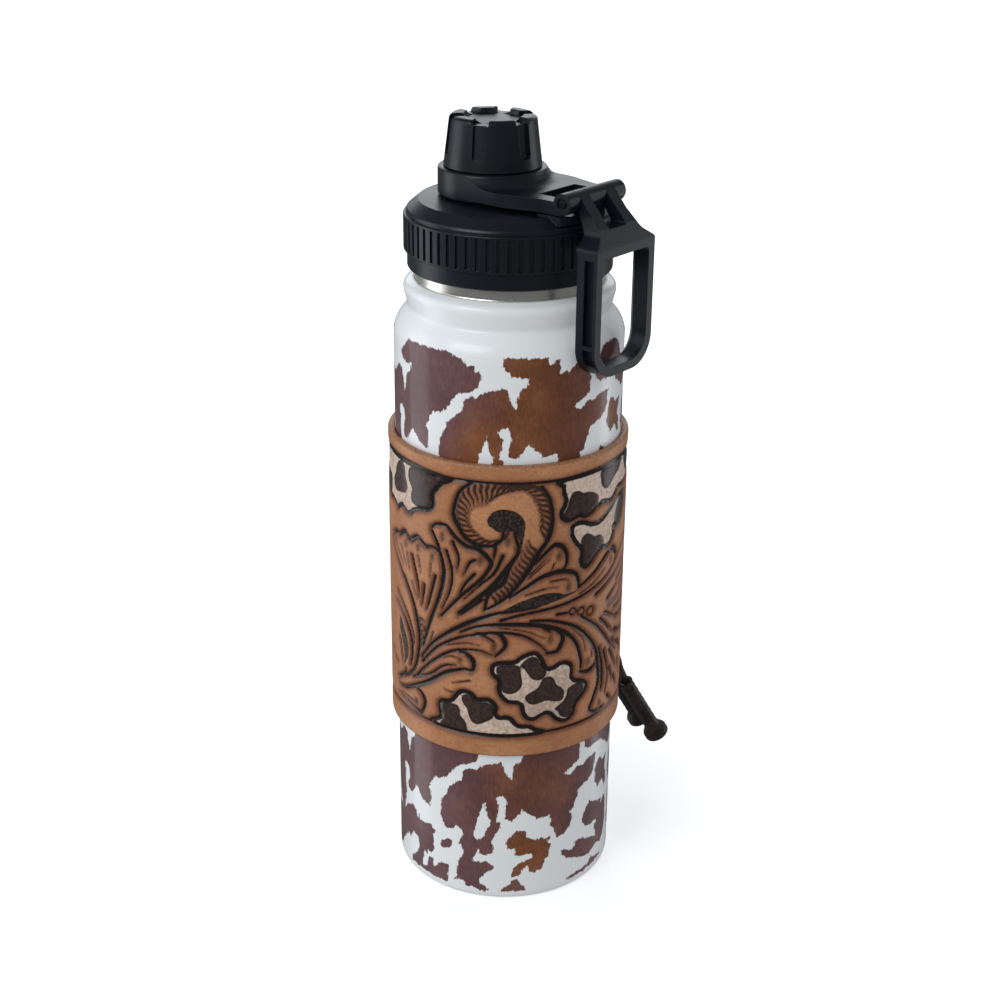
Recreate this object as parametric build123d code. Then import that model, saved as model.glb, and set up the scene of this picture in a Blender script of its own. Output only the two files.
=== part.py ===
from build123d import *
import math
import os

# Double-wall steel water bottle: leather sleeve laced at the back, screw lid, hinged spout cap, carry loop.
# Origin on the bottle's axis at the floor, +Z up, +X towards the hinge, millimetres.

# Steel body
body_radius = 36.5
steel_wall = 0.6
vacuum_gap = 2.7
foot_rounding = 2.6
foot_ring_width = 2.2
pad_thickness = 1.6
pad_clearance = 0.3
pad_rounding = 0.5
recess_slope = 1.2
cup_skirt = 6.4
getter_radius = 6.0
getter_thickness = 1.4
liner_floor_gap = 5.0
liner_corner_rounding = 8.0
shoulder_z = 194.5
shoulder_rounding = 9.0
groove_depth = 4.5
groove_rise = 5.5
groove_rounding = 1.8
bead_depth = 2.8
bead_rise = 6.9
bead_rounding = 2.4
band_depth = 6.5
band_rise = 2.0
band_rounding = 0.7
band_height = 3.7
neck_step = 1.7
neck_slope = 0.8
neck_length = 9.2
neck_lip_width = 2.3
liner_shoulder_drop = 4.5
liner_throat_rise = 7.0
liner_throat_rounding = 5.0
cut_overrun = 1.0

# Screw threads
thread_pitch = 5.0
thread_turns = 1.0
thread_height = 1.0
thread_root_width = 2.4
thread_crest_width = 1.0
thread_sink = 0.3
thread_lead_in = 1.3
thread_clearance = 0.3

# Screw lid
skirt_overlap = 0.2
liner_end_clearance = 0.8
liner_wall = 1.1
fit_clearance = 0.1
skirt_wall = 1.3
skirt_height = 5.4
grip_step = 1.1
grip_height = 11.3
grip_margin = 0.8
grip_flutes = 64
flute_width = 1.2
flute_depth = 0.6
crown_step = 0.9
crown_rounding = 1.2
crown_edge_inset = 3.7
gasket_thickness = 1.6
gasket_clearance = 0.2
liner_plate = 2.6
seal_thickness = 1.0
flange_thickness = 3.0
lid_top = 2.0

# Drinking spout and its cap
spout_offset = 7.26
spout_radius = 9.6
spout_bore = 8.0
spout_height = 19.6
spout_flange_radius = 14.0
spout_hole_clearance = 0.2
spout_thread_height = 0.7
spout_thread_pitch = 3.0
spout_thread_root_width = 1.6
spout_thread_crest_width = 0.7
spout_thread_turns = 1.5
spout_thread_start = 10.4
rim_rounding = 0.6
cap_barrel_radius = 14.1
cap_skirt_clearance = 0.7
cap_shoulder_step = 1.2
cap_top_radius = 13.4
cap_rounding = 1.6
cap_height = 15.3
cap_cavity_radius = 13.0
cap_cavity_shrink = 0.9
cap_cavity_straight = 10.0
cap_bore_radius = 12.3
cap_bore_top_radius = 11.0
cap_ceiling = 1.0
cap_gasket_thickness = 1.4
cap_gasket_radius = 10.6
cap_slots = 6
slot_width = 4.0
slot_depth = 0.9
slot_drop = 11.8
slot_turn = -7.5
slot_crown_flare = 1.4
crown_centre_radius = 8.6
crown_centre_depth = 1.5
snap_height = 2.5
snap_width = 1.0

# Cap strap, hinge and carry loop
pin_inset = 1.8
pin_rise = 4.8
pin_radius = 1.2
pin_dome = 0.3
pin_recess = 0.2
pin_clearance = 0.06
pin_counterbore_radius = 1.9
pin_counterbore_depth = 0.6
barrel_radius = 3.2
lug_half_width = 4.0
hinge_side_clearance = 0.2
handle_arm_width = 4.2
ear_width = 5.0
ring_wall = 2.7
ring_clearance = 0.3
ring_height = 8.7
ring_lid_clearance = 0.3
ring_rounding = 0.8
arm_thickness = 4.0
arm_lid_clearance = 1.3
arm_taper_start = 20.5
arm_taper_end = 8.5
arm_blend_reach = 2.2
arm_blend_rounding = 4.0
notch_depth = 12.5
plinth_back = 9.5
plinth_front = 1.3
plinth_half_width = 13.0
plinth_rise = 0.7
lug_back = 2.6
loop_half_width = 14.4
loop_thickness = 2.9
loop_depth = 7.2
loop_reach = 14.0
loop_drop = 11.8
loop_length = 39.7
loop_corner = 9.5
loop_inner_corner = 7.0
loop_upper_corner = 1.5
loop_back_chamfer = 2.0
channel_width = 3.6
channel_shift = 0.9
channel_depth = 1.6
channel_rib = 1.4
arm_window_half_width = 4.4
arm_window_drop = 7.2
arm_low_half_width = 9.8
arm_splay_drop = 3.5
arm_flare_drop = 8.6
arm_flare_rounding = 4.0
arm_neck_drop = 2.2
window_rounding = 0.8
knee_rounding = 2.0
eye_top_shares = (0.78, 0.625)
eye_low_shares = (0.6, -0.8)
knee_top_shares = (0.74, 0.58)
knee_low_shares = (0.4, 0.7)

# Leather sleeve and its lace
leather = 2.2
sleeve_clearance = 0.25
sleeve_bottom = 57.4
sleeve_height = 102.0
sleeve_gap = 8.0
seam_azimuth = 71.5
border_inset = 5.8
low_border_inset = 8.1
crease_width = 0.9
crease_depth = 0.4
hole_inset = 4.5
hole_radius = 1.5
lace_rows = 6
lace_bottom_rise = 22.6
lace_top_drop = 9.4
lace_radius = 1.2
lace_bend = 1.6
lace_bar_bend = 20.0
lace_sleeve_clearance = 0.85
lace_bar_lift = 0.6
tip_radius = 2.4
tip_bore_clearance = 0.15
tip_length = 27.6
tip_flare_radius = 4.4
tip_flare_length = 2.6
tip_flare_slope = 2.4
tip_solid_end = 6.0

# Lace route below the last holes, as (degrees from the seam, radius, height), and its two free tails
near_lace_end = [(7.5, 37.95, 77.2), (3.0, 40.9, 74.4)]
far_lace_end = [(-6.0, 37.95, 76.5), (2.0, 38.2, 71.0)]
near_tail_bend = (-10.5, 42.4, 66.8)
near_mouth = (-12.0, 45.0, 56.3)
far_mouth = (3.0, 45.0, 56.3)
tip_tilt = 30.0
near_straight = 3.0
far_straight = 6.5
least_gap_sample = 0.5

# Heights that follow from the sizes above
recess_z = pad_thickness
cup_top_z = foot_rounding + cup_skirt
liner_floor_z = recess_z + liner_floor_gap
groove_z = shoulder_z + groove_rise
bead_z = groove_z + bead_rise
band_z = bead_z + band_rise
band_top_z = band_z + band_height
neck_z = band_top_z + neck_slope
neck_top_z = neck_z + neck_length
rim_z = neck_top_z + steel_wall
gasket_top_z = rim_z + gasket_thickness
liner_top_z = gasket_top_z + liner_plate
seal_top_z = liner_top_z + seal_thickness
flange_top_z = seal_top_z + flange_thickness
lid_top_z = flange_top_z + lid_top
skirt_z = band_top_z - skirt_overlap
liner_bottom_z = neck_z + liner_end_clearance
grip_z = skirt_z + skirt_height
grip_top_z = grip_z + grip_height
spout_top_z = lid_top_z + spout_height
cap_bottom_z = lid_top_z + cap_skirt_clearance
snap_top_z = cap_bottom_z + snap_height
ring_bottom_z = lid_top_z + ring_lid_clearance
ring_step_z = snap_top_z + ring_clearance
ring_top_z = ring_bottom_z + ring_height
cap_shoulder_z = ring_top_z + ring_clearance
cap_top_z = cap_shoulder_z + cap_height
cap_gasket_top_z = spout_top_z + cap_gasket_thickness
cap_ceiling_z = cap_gasket_top_z + cap_ceiling
arm_bottom_z = lid_top_z + arm_lid_clearance
arm_top_z = arm_bottom_z + arm_thickness
pin_z = lid_top_z + pin_rise
loop_top_z = pin_z - loop_drop
arm_window_z = pin_z - arm_window_drop
arm_flare_z = pin_z - arm_flare_drop
arm_splay_z = pin_z - arm_splay_drop
arm_neck_z = pin_z - arm_neck_drop
plinth_top_z = lid_top_z + plinth_rise
loop_bottom_z = loop_top_z - loop_length
sleeve_top_z = sleeve_bottom + sleeve_height
lace_bottom_row = sleeve_bottom + lace_bottom_rise
lace_top_row = sleeve_top_z - lace_top_drop

# Radii and widths that follow
liner_radius = body_radius - steel_wall - vacuum_gap
groove_radius = body_radius - groove_depth
bead_radius = body_radius - bead_depth
band_radius = body_radius - band_depth
neck_radius = band_radius - neck_step
throat_radius = neck_radius - neck_lip_width
mouth_radius = throat_radius - steel_wall
foot_outer_radius = body_radius - foot_rounding
foot_inner_radius = foot_outer_radius - foot_ring_width
recess_radius = foot_inner_radius - recess_slope
thread_crest_radius = neck_radius + thread_height
lid_bore = thread_crest_radius + thread_clearance
liner_outer_radius = lid_bore + liner_wall
shell_bore = liner_outer_radius + fit_clearance
skirt_radius = shell_bore + skirt_wall
grip_radius = skirt_radius + grip_step
crown_radius = grip_radius - crown_step
crown_edge_radius = crown_radius - crown_edge_inset
pin_reach = crown_radius - pin_inset
cap_shoulder_radius = cap_barrel_radius + cap_shoulder_step
snap_radius = cap_barrel_radius + fit_clearance + snap_width
ring_bore = cap_barrel_radius + ring_clearance
ring_lower_bore = snap_radius + ring_clearance
ring_radius = ring_bore + ring_wall
arm_start = lug_half_width + hinge_side_clearance
arm_end = arm_start + handle_arm_width
ear_start = arm_end + hinge_side_clearance
ear_end = ear_start + ear_width
loop_front_x = pin_reach + loop_reach
loop_back_x = loop_front_x - loop_depth
sleeve_bore = body_radius + sleeve_clearance
sleeve_radius = sleeve_bore + leather
lace_inner_radius = sleeve_bore + lace_radius
lace_outer_radius = sleeve_radius + lace_radius + lace_sleeve_clearance
lace_bar_radius = lace_outer_radius + lace_bar_lift

hole_angle = math.degrees((sleeve_gap / 2 + hole_inset) / sleeve_radius)
spout_axis = Axis((-spout_offset, 0, 0), (0, 0, 1))
pin_axis = Axis((pin_reach, 0, pin_z), (0, 1, 0))


def rounded_wire(points, radii, closed=True):
    """Straight runs between points, each corner rounded to its radius (zero leaves it sharp)."""
    corners = [Vector(*point) for point in points]
    count = len(corners)
    spans = []
    for index, corner in enumerate(corners):
        radius = radii[index]
        if radius == 0:
            spans.append((corner, None, corner))
            continue
        back = (corners[index - 1] - corner).normalized()
        ahead = (corners[(index + 1) % count] - corner).normalized()
        half_angle = math.radians(back.get_angle(ahead)) / 2
        reach = radius / math.tan(half_angle)
        inward = (back + ahead).normalized() * (radius / math.sin(half_angle) - radius)
        spans.append((corner + back * reach, corner + inward, corner + ahead * reach))
    edges = []
    for index, (start, middle, end) in enumerate(spans):
        if middle is not None:
            edges.append(Edge.make_three_point_arc(start, middle, end))
        if index < count - 1 or closed:
            edges.append(Edge.make_line(end, spans[(index + 1) % count][0]))
    return Wire(edges)


def turned(outline, axis=Axis.Z):
    """Solid of revolution of (radius, height) or (radius, height, rounding) corners."""
    centre_x = axis.position.X
    points = [(centre_x + corner[0], 0, corner[1]) for corner in outline]
    radii = [corner[2] if len(corner) > 2 else 0 for corner in outline]
    return revolve(Face(rounded_wire(points, radii)), axis=axis)


def sheet_outline(path, wall):
    """Close an open (radius, height, rounding) path with a copy set to its left by the wall."""
    inner = []
    last = len(path) - 1
    for index, (radius, height, rounding) in enumerate(path):
        ends = []
        if index > 0:
            ends.append((path[index - 1], path[index]))
        if index < last:
            ends.append((path[index], path[index + 1]))
        normals = []
        for first, second in ends:
            run = second[0] - first[0]
            rise = second[1] - first[1]
            length = math.hypot(run, rise)
            normals.append((-rise / length, run / length))
        across = sum(normal[0] for normal in normals)
        along = sum(normal[1] for normal in normals)
        stretch = len(normals) / (across ** 2 + along ** 2)
        turn = 0
        if len(normals) == 2:
            turn = normals[0][0] * normals[1][1] - normals[0][1] * normals[1][0]
        new_rounding = rounding - wall if turn > 0 else rounding + wall
        if rounding == 0:
            new_rounding = 0
        shift = wall * stretch
        inner.append((radius + across * shift, height + along * shift, new_rounding))
    return list(path) + inner[::-1]


def disc_ring(outer, inner, low, high, axis=Axis.Z):
    """Flat ring between two radii and two heights; an inner radius of zero gives a disc."""
    corners = [(inner, low), (outer, low), (outer, high), (inner, high)]
    return turned(corners, axis)


def block(low, high):
    """Box between two opposite corners."""
    size = [top - bottom for bottom, top in zip(low, high)]
    return Pos(*low) * Box(*size, align=(Align.MIN, Align.MIN, Align.MIN))


def thread_ridge(radius, crest, low_z, turns, turn_offset, pitch, widths, centre_x=0):
    """Helical ridge of trapezoid section from a wall radius to a crest radius."""
    root_width, crest_width = widths
    outward = 1 if crest > radius else -1
    root = radius - outward * thread_sink
    helix = Helix(pitch=pitch, height=pitch * turns, radius=radius)
    start = Plane(origin=helix @ 0, x_dir=(1, 0, 0), z_dir=helix % 0)
    section = [(root - radius, root_width / 2), (root - radius, -root_width / 2),
               (crest - radius, -crest_width / 2), (crest - radius, crest_width / 2)]
    ridge = sweep(start * make_face(Polyline(*section, close=True)), path=helix, is_frenet=True)
    return Pos(centre_x, 0, low_z) * Rot(0, 0, turn_offset) * ridge


def along_pin(radius, start, end):
    """Round bar on the pin's axis between two distances along it."""
    bar = Cylinder(radius, end - start, align=(Align.CENTER, Align.CENTER, Align.MIN))
    return Pos(pin_reach, start, pin_z) * Rot(-90, 0, 0) * bar


def side_profile(points, radii, half_width):
    """Plate cut from (x, z) corners and carried the same way to each side of the middle plane."""
    face = Face(rounded_wire([(x, 0, z) for x, z in points], radii))
    return extrude(face, amount=half_width, dir=(0, 1, 0), both=True)


def front_profile(points, radii, low_x, high_x):
    """Plate cut from (y, z) corners between two distances from the bottle's axis."""
    face = Face(rounded_wire([(low_x, y, z) for y, z in points], radii))
    return extrude(face, amount=high_x - low_x, dir=(1, 0, 0))


def outer_shell():
    path = [(body_radius, foot_rounding, 0),
            (body_radius, shoulder_z, shoulder_rounding),
            (groove_radius, groove_z, groove_rounding),
            (bead_radius, bead_z, bead_rounding),
            (band_radius, band_z, band_rounding),
            (band_radius, band_top_z, 0),
            (neck_radius, neck_z, 0),
            (neck_radius, neck_top_z, 0)]
    shell = turned(sheet_outline(path, steel_wall))
    low_z = neck_z + thread_lead_in + thread_root_width / 2
    ridge = thread_ridge(neck_radius, thread_crest_radius, low_z, thread_turns, 0,
                         thread_pitch, (thread_root_width, thread_crest_width))
    return shell + ridge


def inner_liner():
    path = [(0, liner_floor_z, 0),
            (liner_radius, liner_floor_z, liner_corner_rounding),
            (liner_radius, shoulder_z - liner_shoulder_drop, shoulder_rounding),
            (throat_radius, groove_z + liner_throat_rise, liner_throat_rounding),
            (throat_radius, neck_top_z, steel_wall),
            (neck_radius, neck_top_z, 0)]
    return turned(sheet_outline(path, steel_wall))


def base_cup():
    wall_radius = body_radius - steel_wall
    return turned([(0, recess_z),
                   (recess_radius, recess_z),
                   (foot_inner_radius, 0),
                   (foot_outer_radius, 0),
                   (body_radius, 0, foot_rounding - steel_wall),
                   (body_radius, foot_rounding),
                   (wall_radius, foot_rounding),
                   (wall_radius, cup_top_z),
                   (wall_radius - steel_wall, cup_top_z),
                   (wall_radius - steel_wall, recess_z + steel_wall, foot_rounding - steel_wall),
                   (0, recess_z + steel_wall)])


def base_pad():
    radius = recess_radius - pad_clearance
    return turned([(0, 0), (radius, 0, pad_rounding), (radius, recess_z), (0, recess_z)])


def getter():
    low_z = recess_z + steel_wall
    return disc_ring(getter_radius, 0, low_z, low_z + getter_thickness)


def seam_point(angle, radius, height):
    """Point at an angle in degrees from the sleeve's seam."""
    turn = math.radians(seam_azimuth + angle)
    return (radius * math.cos(turn), radius * math.sin(turn), height)


def row_heights():
    step = (lace_top_row - lace_bottom_row) / (lace_rows - 1)
    return [lace_bottom_row + step * row for row in range(lace_rows)]


def leather_sleeve():
    band = disc_ring(sleeve_radius, sleeve_bore, sleeve_bottom, sleeve_top_z)
    lower = sleeve_bottom + low_border_inset
    upper = sleeve_top_z - border_inset
    outside = sleeve_radius + cut_overrun
    for height in (lower, upper):
        band -= disc_ring(outside, sleeve_radius - crease_depth,
                          height - crease_width / 2, height + crease_width / 2)
    seam = block((0, -sleeve_gap / 2, sleeve_bottom - cut_overrun),
                 (outside, sleeve_gap / 2, sleeve_top_z + cut_overrun))
    band -= Rot(0, 0, seam_azimuth) * seam
    hole = Rot(0, 90, 0) * Cylinder(hole_radius, outside, align=(Align.CENTER, Align.CENTER, Align.MIN))
    holes = [Pos(0, 0, height) * Rot(0, 0, seam_azimuth + side * hole_angle) * hole
             for height in row_heights() for side in (1, -1)]
    return band - holes


def middle_point(first, second):
    return tuple((a + b) / 2 for a, b in zip(first, second))


def tube(route, radius):
    """Round tube along a wire of straight runs joined by arcs."""
    return sweep(Plane(origin=route @ 0, z_dir=route % 0) * Circle(radius), path=route)


def lace_crossing(side, top_z, step, over):
    """Strand from a hole, under the leather, out of the gap and across towards the next hole down."""
    if over:
        places = ((7.5, lace_inner_radius, 0.2), (3.0, lace_outer_radius, 0.4))
    else:
        places = ((6.0, lace_inner_radius, 0.28), (-4.0, lace_inner_radius, 0.62))
    return [seam_point(side * angle, radius, top_z - step * drop) for angle, radius, drop in places]


def lace_strand(side, over):
    """Points of one strand, from its outer place at the top row down to the last row's hole."""
    heights = row_heights()[::-1]
    step = heights[0] - heights[1]
    points = []
    bends = []
    for height in heights:
        points.append(seam_point(side * hole_angle, lace_outer_radius, height))
        points.append(seam_point(side * hole_angle, lace_inner_radius, height))
        bends += [lace_bend, lace_bend]
        if height != heights[-1]:
            points += lace_crossing(side, height, step, over)
            bends += [lace_bend, lace_bend]
        side = -side
    return points, bends


def lacing_route():
    over_points, over_bends = lace_strand(-1, True)
    under_points, under_bends = lace_strand(1, False)
    near_points = [seam_point(*place) for place in near_lace_end] + [near_tail_route()[0]]
    far_points = [seam_point(*place) for place in far_lace_end] + [far_tail_route()[0]]
    bar = seam_point(0, lace_bar_radius, lace_top_row)
    points = (far_points[::-1] + under_points[::-1] + [bar] + over_points + near_points)
    bends = ([0] + [lace_bend] * (len(far_points) - 1) + under_bends[::-1] + [lace_bar_bend]
             + over_bends + [lace_bend] * (len(near_points) - 1) + [0])
    return rounded_wire(points, bends, closed=False)


def tip_direction():
    """Both free tips hang the same way, tilted out from straight down."""
    turn = math.radians(seam_azimuth + near_mouth[0])
    tilt = math.radians(tip_tilt)
    return Vector(math.sin(tilt) * math.cos(turn), math.sin(tilt) * math.sin(turn), -math.cos(tilt))


def beyond(place, distance):
    """Point at a distance along the tip's direction from a mouth (negative is above it)."""
    return tuple(Vector(*seam_point(*place)) + tip_direction() * distance)


def near_tail_route():
    bend = seam_point(*near_tail_bend)
    start = middle_point(seam_point(*near_lace_end[-1]), bend)
    return [start, bend, beyond(near_mouth, -near_straight), beyond(near_mouth, tip_length - tip_solid_end)]


def far_tail_route():
    bend = beyond(far_mouth, -far_straight)
    start = middle_point(seam_point(*far_lace_end[-1]), bend)
    return [start, bend, beyond(far_mouth, tip_length - tip_solid_end)]


def free_radii(points):
    """Arc at each inner point: 0.45 of the shorter run over the tangent of half the turn."""
    radii = [0]
    for before, here, after in zip(points, points[1:], points[2:]):
        arriving = Vector(*here) - Vector(*before)
        leaving = Vector(*after) - Vector(*here)
        half_turn = math.radians(arriving.get_angle(leaving)) / 2
        radii.append(0.45 * min(arriving.length, leaving.length) / math.tan(half_turn))
    return radii + [0]


def lace_tail(points):
    radii = free_radii(points)
    print("lace tail bend radii:", [round(radius, 1) for radius in radii[1:-1]])
    return tube(rounded_wire(points, radii, closed=False), lace_radius)


def lace_tip(place):
    """Tubular end: the lace sits in its bore, and its closed end flares to a round foot."""
    bore = lace_radius + tip_bore_clearance
    flare_z = tip_length - tip_flare_length
    slope_z = flare_z - tip_flare_slope
    floor_z = tip_length - tip_solid_end
    rim = (tip_radius - bore) / 4
    tip = turned([(bore, 0), (tip_radius, 0, rim), (tip_radius, slope_z, tip_flare_slope),
                  (tip_flare_radius, flare_z, rim), (tip_flare_radius, tip_length, tip_radius / 3),
                  (0, tip_length), (0, floor_z), (bore, floor_z)])
    return Plane(origin=seam_point(*place), z_dir=tip_direction()) * tip


def lid_gasket():
    return disc_ring(lid_bore - gasket_clearance, mouth_radius, rim_z, gasket_top_z)


def lid_liner():
    liner = turned([(lid_bore, liner_bottom_z), (liner_outer_radius, liner_bottom_z),
                    (liner_outer_radius, liner_top_z), (0, liner_top_z),
                    (0, gasket_top_z), (lid_bore, gasket_top_z)])
    low_z = neck_z + thread_lead_in + thread_root_width / 2
    ridge = thread_ridge(lid_bore, lid_bore - thread_height, low_z, thread_turns, 180,
                         thread_pitch, (thread_root_width, thread_crest_width))
    hole = disc_ring(spout_radius + spout_hole_clearance, 0, gasket_top_z - cut_overrun,
                     liner_top_z + cut_overrun, spout_axis)
    return liner + ridge - hole


def spout_seal():
    return disc_ring(spout_flange_radius, spout_radius + spout_hole_clearance,
                     liner_top_z, seal_top_z, spout_axis)


def spout():
    body = turned([(spout_bore, gasket_top_z), (spout_radius, gasket_top_z),
                   (spout_radius, seal_top_z), (spout_flange_radius, seal_top_z),
                   (spout_flange_radius, flange_top_z), (spout_radius, flange_top_z),
                   (spout_radius, spout_top_z, rim_rounding), (spout_bore, spout_top_z, rim_rounding)],
                  spout_axis)
    ridge = thread_ridge(spout_radius, spout_radius + spout_thread_height,
                         lid_top_z + spout_thread_start, spout_thread_turns, 0, spout_thread_pitch,
                         (spout_thread_root_width, spout_thread_crest_width), -spout_offset)
    return body + ridge


def lid_shell():
    cone_z = grip_top_z + crown_rounding
    shell = turned([(shell_bore, skirt_z), (skirt_radius, skirt_z, crown_step / 2),
                    (skirt_radius, grip_z), (grip_radius, grip_z, crown_step / 2),
                    (grip_radius, grip_top_z, crown_step / 2), (crown_radius, grip_top_z),
                    (crown_radius, cone_z, crown_rounding), (crown_edge_radius, lid_top_z),
                    (0, lid_top_z), (0, flange_top_z), (shell_bore, flange_top_z)])
    flute = block((grip_radius - flute_depth, -flute_width / 2, grip_z + grip_margin),
                  (grip_radius + cut_overrun, flute_width / 2, grip_top_z - grip_margin))
    shell -= [Rot(0, 0, 360 * index / grip_flutes) * flute for index in range(grip_flutes)]
    shell -= disc_ring(spout_radius + spout_hole_clearance, 0, flange_top_z - cut_overrun,
                       lid_top_z + cut_overrun, spout_axis)
    plinth = block((pin_reach - plinth_back, -plinth_half_width, grip_top_z),
                   (pin_reach + plinth_front, plinth_half_width, plinth_top_z))
    rim = disc_ring(crown_radius, 0, flange_top_z, plinth_top_z)
    lug_inner_x = pin_reach - barrel_radius
    lug_outer_x = pin_reach + lug_back
    lug = block((lug_inner_x, -lug_half_width, flange_top_z), (lug_outer_x, lug_half_width, pin_z))
    lug += along_pin(barrel_radius, -lug_half_width, lug_half_width)
    shell += (plinth & rim) + lug
    return shell - along_pin(pin_radius, -ear_end, ear_end)


def hinge_pin():
    half_length = ear_end - pin_recess
    face = Face(rounded_wire([(pin_reach, -half_length, pin_z),
                              (pin_reach + pin_radius, -half_length, pin_z),
                              (pin_reach + pin_radius, half_length, pin_z),
                              (pin_reach, half_length, pin_z)],
                             [0, pin_dome, pin_dome, 0]))
    return revolve(face, axis=pin_axis)


def hinge_cut(radius):
    return along_pin(radius, -ear_end - cut_overrun, ear_end + cut_overrun)


def cap_strap():
    ring = turned([(ring_lower_bore, ring_bottom_z), (ring_radius, ring_bottom_z, ring_rounding),
                   (ring_radius, ring_top_z, ring_rounding), (ring_bore, ring_top_z, ring_rounding / 2),
                   (ring_bore, ring_step_z), (ring_lower_bore, ring_step_z)], spout_axis)
    taper_start = pin_reach - arm_taper_start
    taper_end = pin_reach - arm_taper_end
    arm_outline = [(-spout_offset, -ring_radius), (taper_start, -ring_radius),
                   (taper_end, -ear_end), (pin_reach, -ear_end),
                   (pin_reach, ear_end), (taper_end, ear_end),
                   (taper_start, ring_radius), (-spout_offset, ring_radius)]
    arm_radii = [0, ring_radius, ring_radius, 0, 0, ring_radius, ring_radius, 0]
    outline = Face(rounded_wire([(x, y, arm_bottom_z) for x, y in arm_outline], arm_radii))
    arm = extrude(outline, amount=arm_thickness, dir=(0, 0, 1))
    inside = ring_radius - ring_rounding
    blend_radius = ring_radius + arm_blend_reach
    blend = turned([(inside, arm_bottom_z), (blend_radius + arm_blend_rounding, arm_bottom_z),
                    (blend_radius + arm_blend_rounding, arm_top_z),
                    (blend_radius, arm_top_z, arm_blend_rounding),
                    (ring_radius, ring_top_z - ring_rounding),
                    (inside, ring_top_z - ring_rounding)], spout_axis)
    blend &= extrude(outline, amount=ring_top_z - arm_bottom_z, dir=(0, 0, 1))
    core = disc_ring(ring_bore + ring_wall / 2, 0, ring_bottom_z, ring_top_z + cut_overrun, spout_axis)
    ears = along_pin(barrel_radius, -ear_end, ear_end)
    notch = block((pin_reach - notch_depth, -ear_start, ring_bottom_z),
                  (pin_reach + barrel_radius + cut_overrun, ear_start, ring_top_z + cut_overrun))
    strap = arm - core + ring + blend + ears - notch - hinge_cut(pin_radius + pin_clearance)
    for start, end in ((-ear_end - cut_overrun, pin_counterbore_depth - ear_end),
                       (ear_end - pin_counterbore_depth, ear_end + cut_overrun)):
        strap -= along_pin(pin_counterbore_radius, start, end)
    return strap


def cap_shell():
    centre_z = cap_top_z - crown_centre_depth
    straight_z = cap_bottom_z + cap_cavity_straight
    top_cavity = cap_cavity_radius - cap_cavity_shrink
    shell = turned([(cap_cavity_radius, cap_bottom_z), (cap_barrel_radius, cap_bottom_z),
                    (cap_barrel_radius, cap_shoulder_z), (cap_shoulder_radius, cap_shoulder_z),
                    (cap_top_radius, cap_top_z, cap_rounding),
                    (crown_centre_radius + crown_centre_depth / 2, cap_top_z, crown_centre_depth / 3),
                    (crown_centre_radius, centre_z), (0, centre_z), (0, cap_ceiling_z),
                    (top_cavity, cap_ceiling_z), (cap_cavity_radius, straight_z)], spout_axis)
    core = turned([(0, cap_shoulder_z), (cap_shoulder_radius - slot_depth, cap_shoulder_z),
                   (cap_top_radius - slot_depth, cap_top_z), (0, cap_top_z)])
    side = block((crown_centre_radius, -slot_width / 2, cap_top_z - slot_drop),
                 (cap_shoulder_radius + cut_overrun, slot_width / 2, centre_z + cut_overrun / 2))
    side = fillet(side.edges().filter_by(Axis.X).group_by(Axis.Z)[0], slot_width / 4) - core
    crown_half = (slot_width + slot_crown_flare) / 2
    crown = block((crown_centre_radius, -crown_half, centre_z),
                  (cap_shoulder_radius, crown_half, cap_top_z + cut_overrun))
    slot = side + crown
    for index in range(cap_slots):
        turn = slot_turn + 360 * index / cap_slots
        shell -= Pos(-spout_offset, 0, 0) * Rot(0, 0, turn) * slot
    return shell


def cap_liner():
    straight_z = cap_bottom_z + cap_cavity_straight
    outer = cap_cavity_radius - fit_clearance
    top = outer - cap_cavity_shrink
    return turned([(cap_bore_radius, cap_bottom_z), (outer, cap_bottom_z), (outer, straight_z),
                   (top, cap_ceiling_z), (0, cap_ceiling_z), (0, cap_gasket_top_z),
                   (cap_bore_top_radius, cap_gasket_top_z)], spout_axis)


def cap_gasket():
    return disc_ring(cap_gasket_radius, 0, spout_top_z, cap_gasket_top_z, spout_axis)


def cap_snap_ring():
    return disc_ring(snap_radius, cap_barrel_radius + fit_clearance, cap_bottom_z, snap_top_z, spout_axis)


def handle_channel(outer_points):
    """Channel along the loop's outer edge, down both sides and round the bottom, with two cross ribs."""
    centre_x = (loop_back_x + loop_front_x) / 2 + channel_shift
    low_x = centre_x - channel_width / 2
    high_x = centre_x + channel_width / 2
    inset = loop_half_width - channel_depth
    floor_z = loop_bottom_z + channel_depth
    core_points = [(-inset, floor_z), (inset, floor_z), (inset, loop_top_z), (-inset, loop_top_z)]
    core_radii = [loop_corner - channel_depth, loop_corner - channel_depth, 0, 0]
    band = front_profile(outer_points, [0, 0, 0, 0], low_x, high_x)
    band -= front_profile(core_points, core_radii, low_x, high_x)
    reach = loop_half_width + cut_overrun
    upper_z = loop_top_z - loop_thickness
    band -= block((low_x, -reach, upper_z), (high_x, reach, loop_top_z + cut_overrun))
    rib_z = loop_bottom_z + loop_corner
    return band - block((low_x, -reach, rib_z), (high_x, reach, rib_z + channel_rib))


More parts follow.
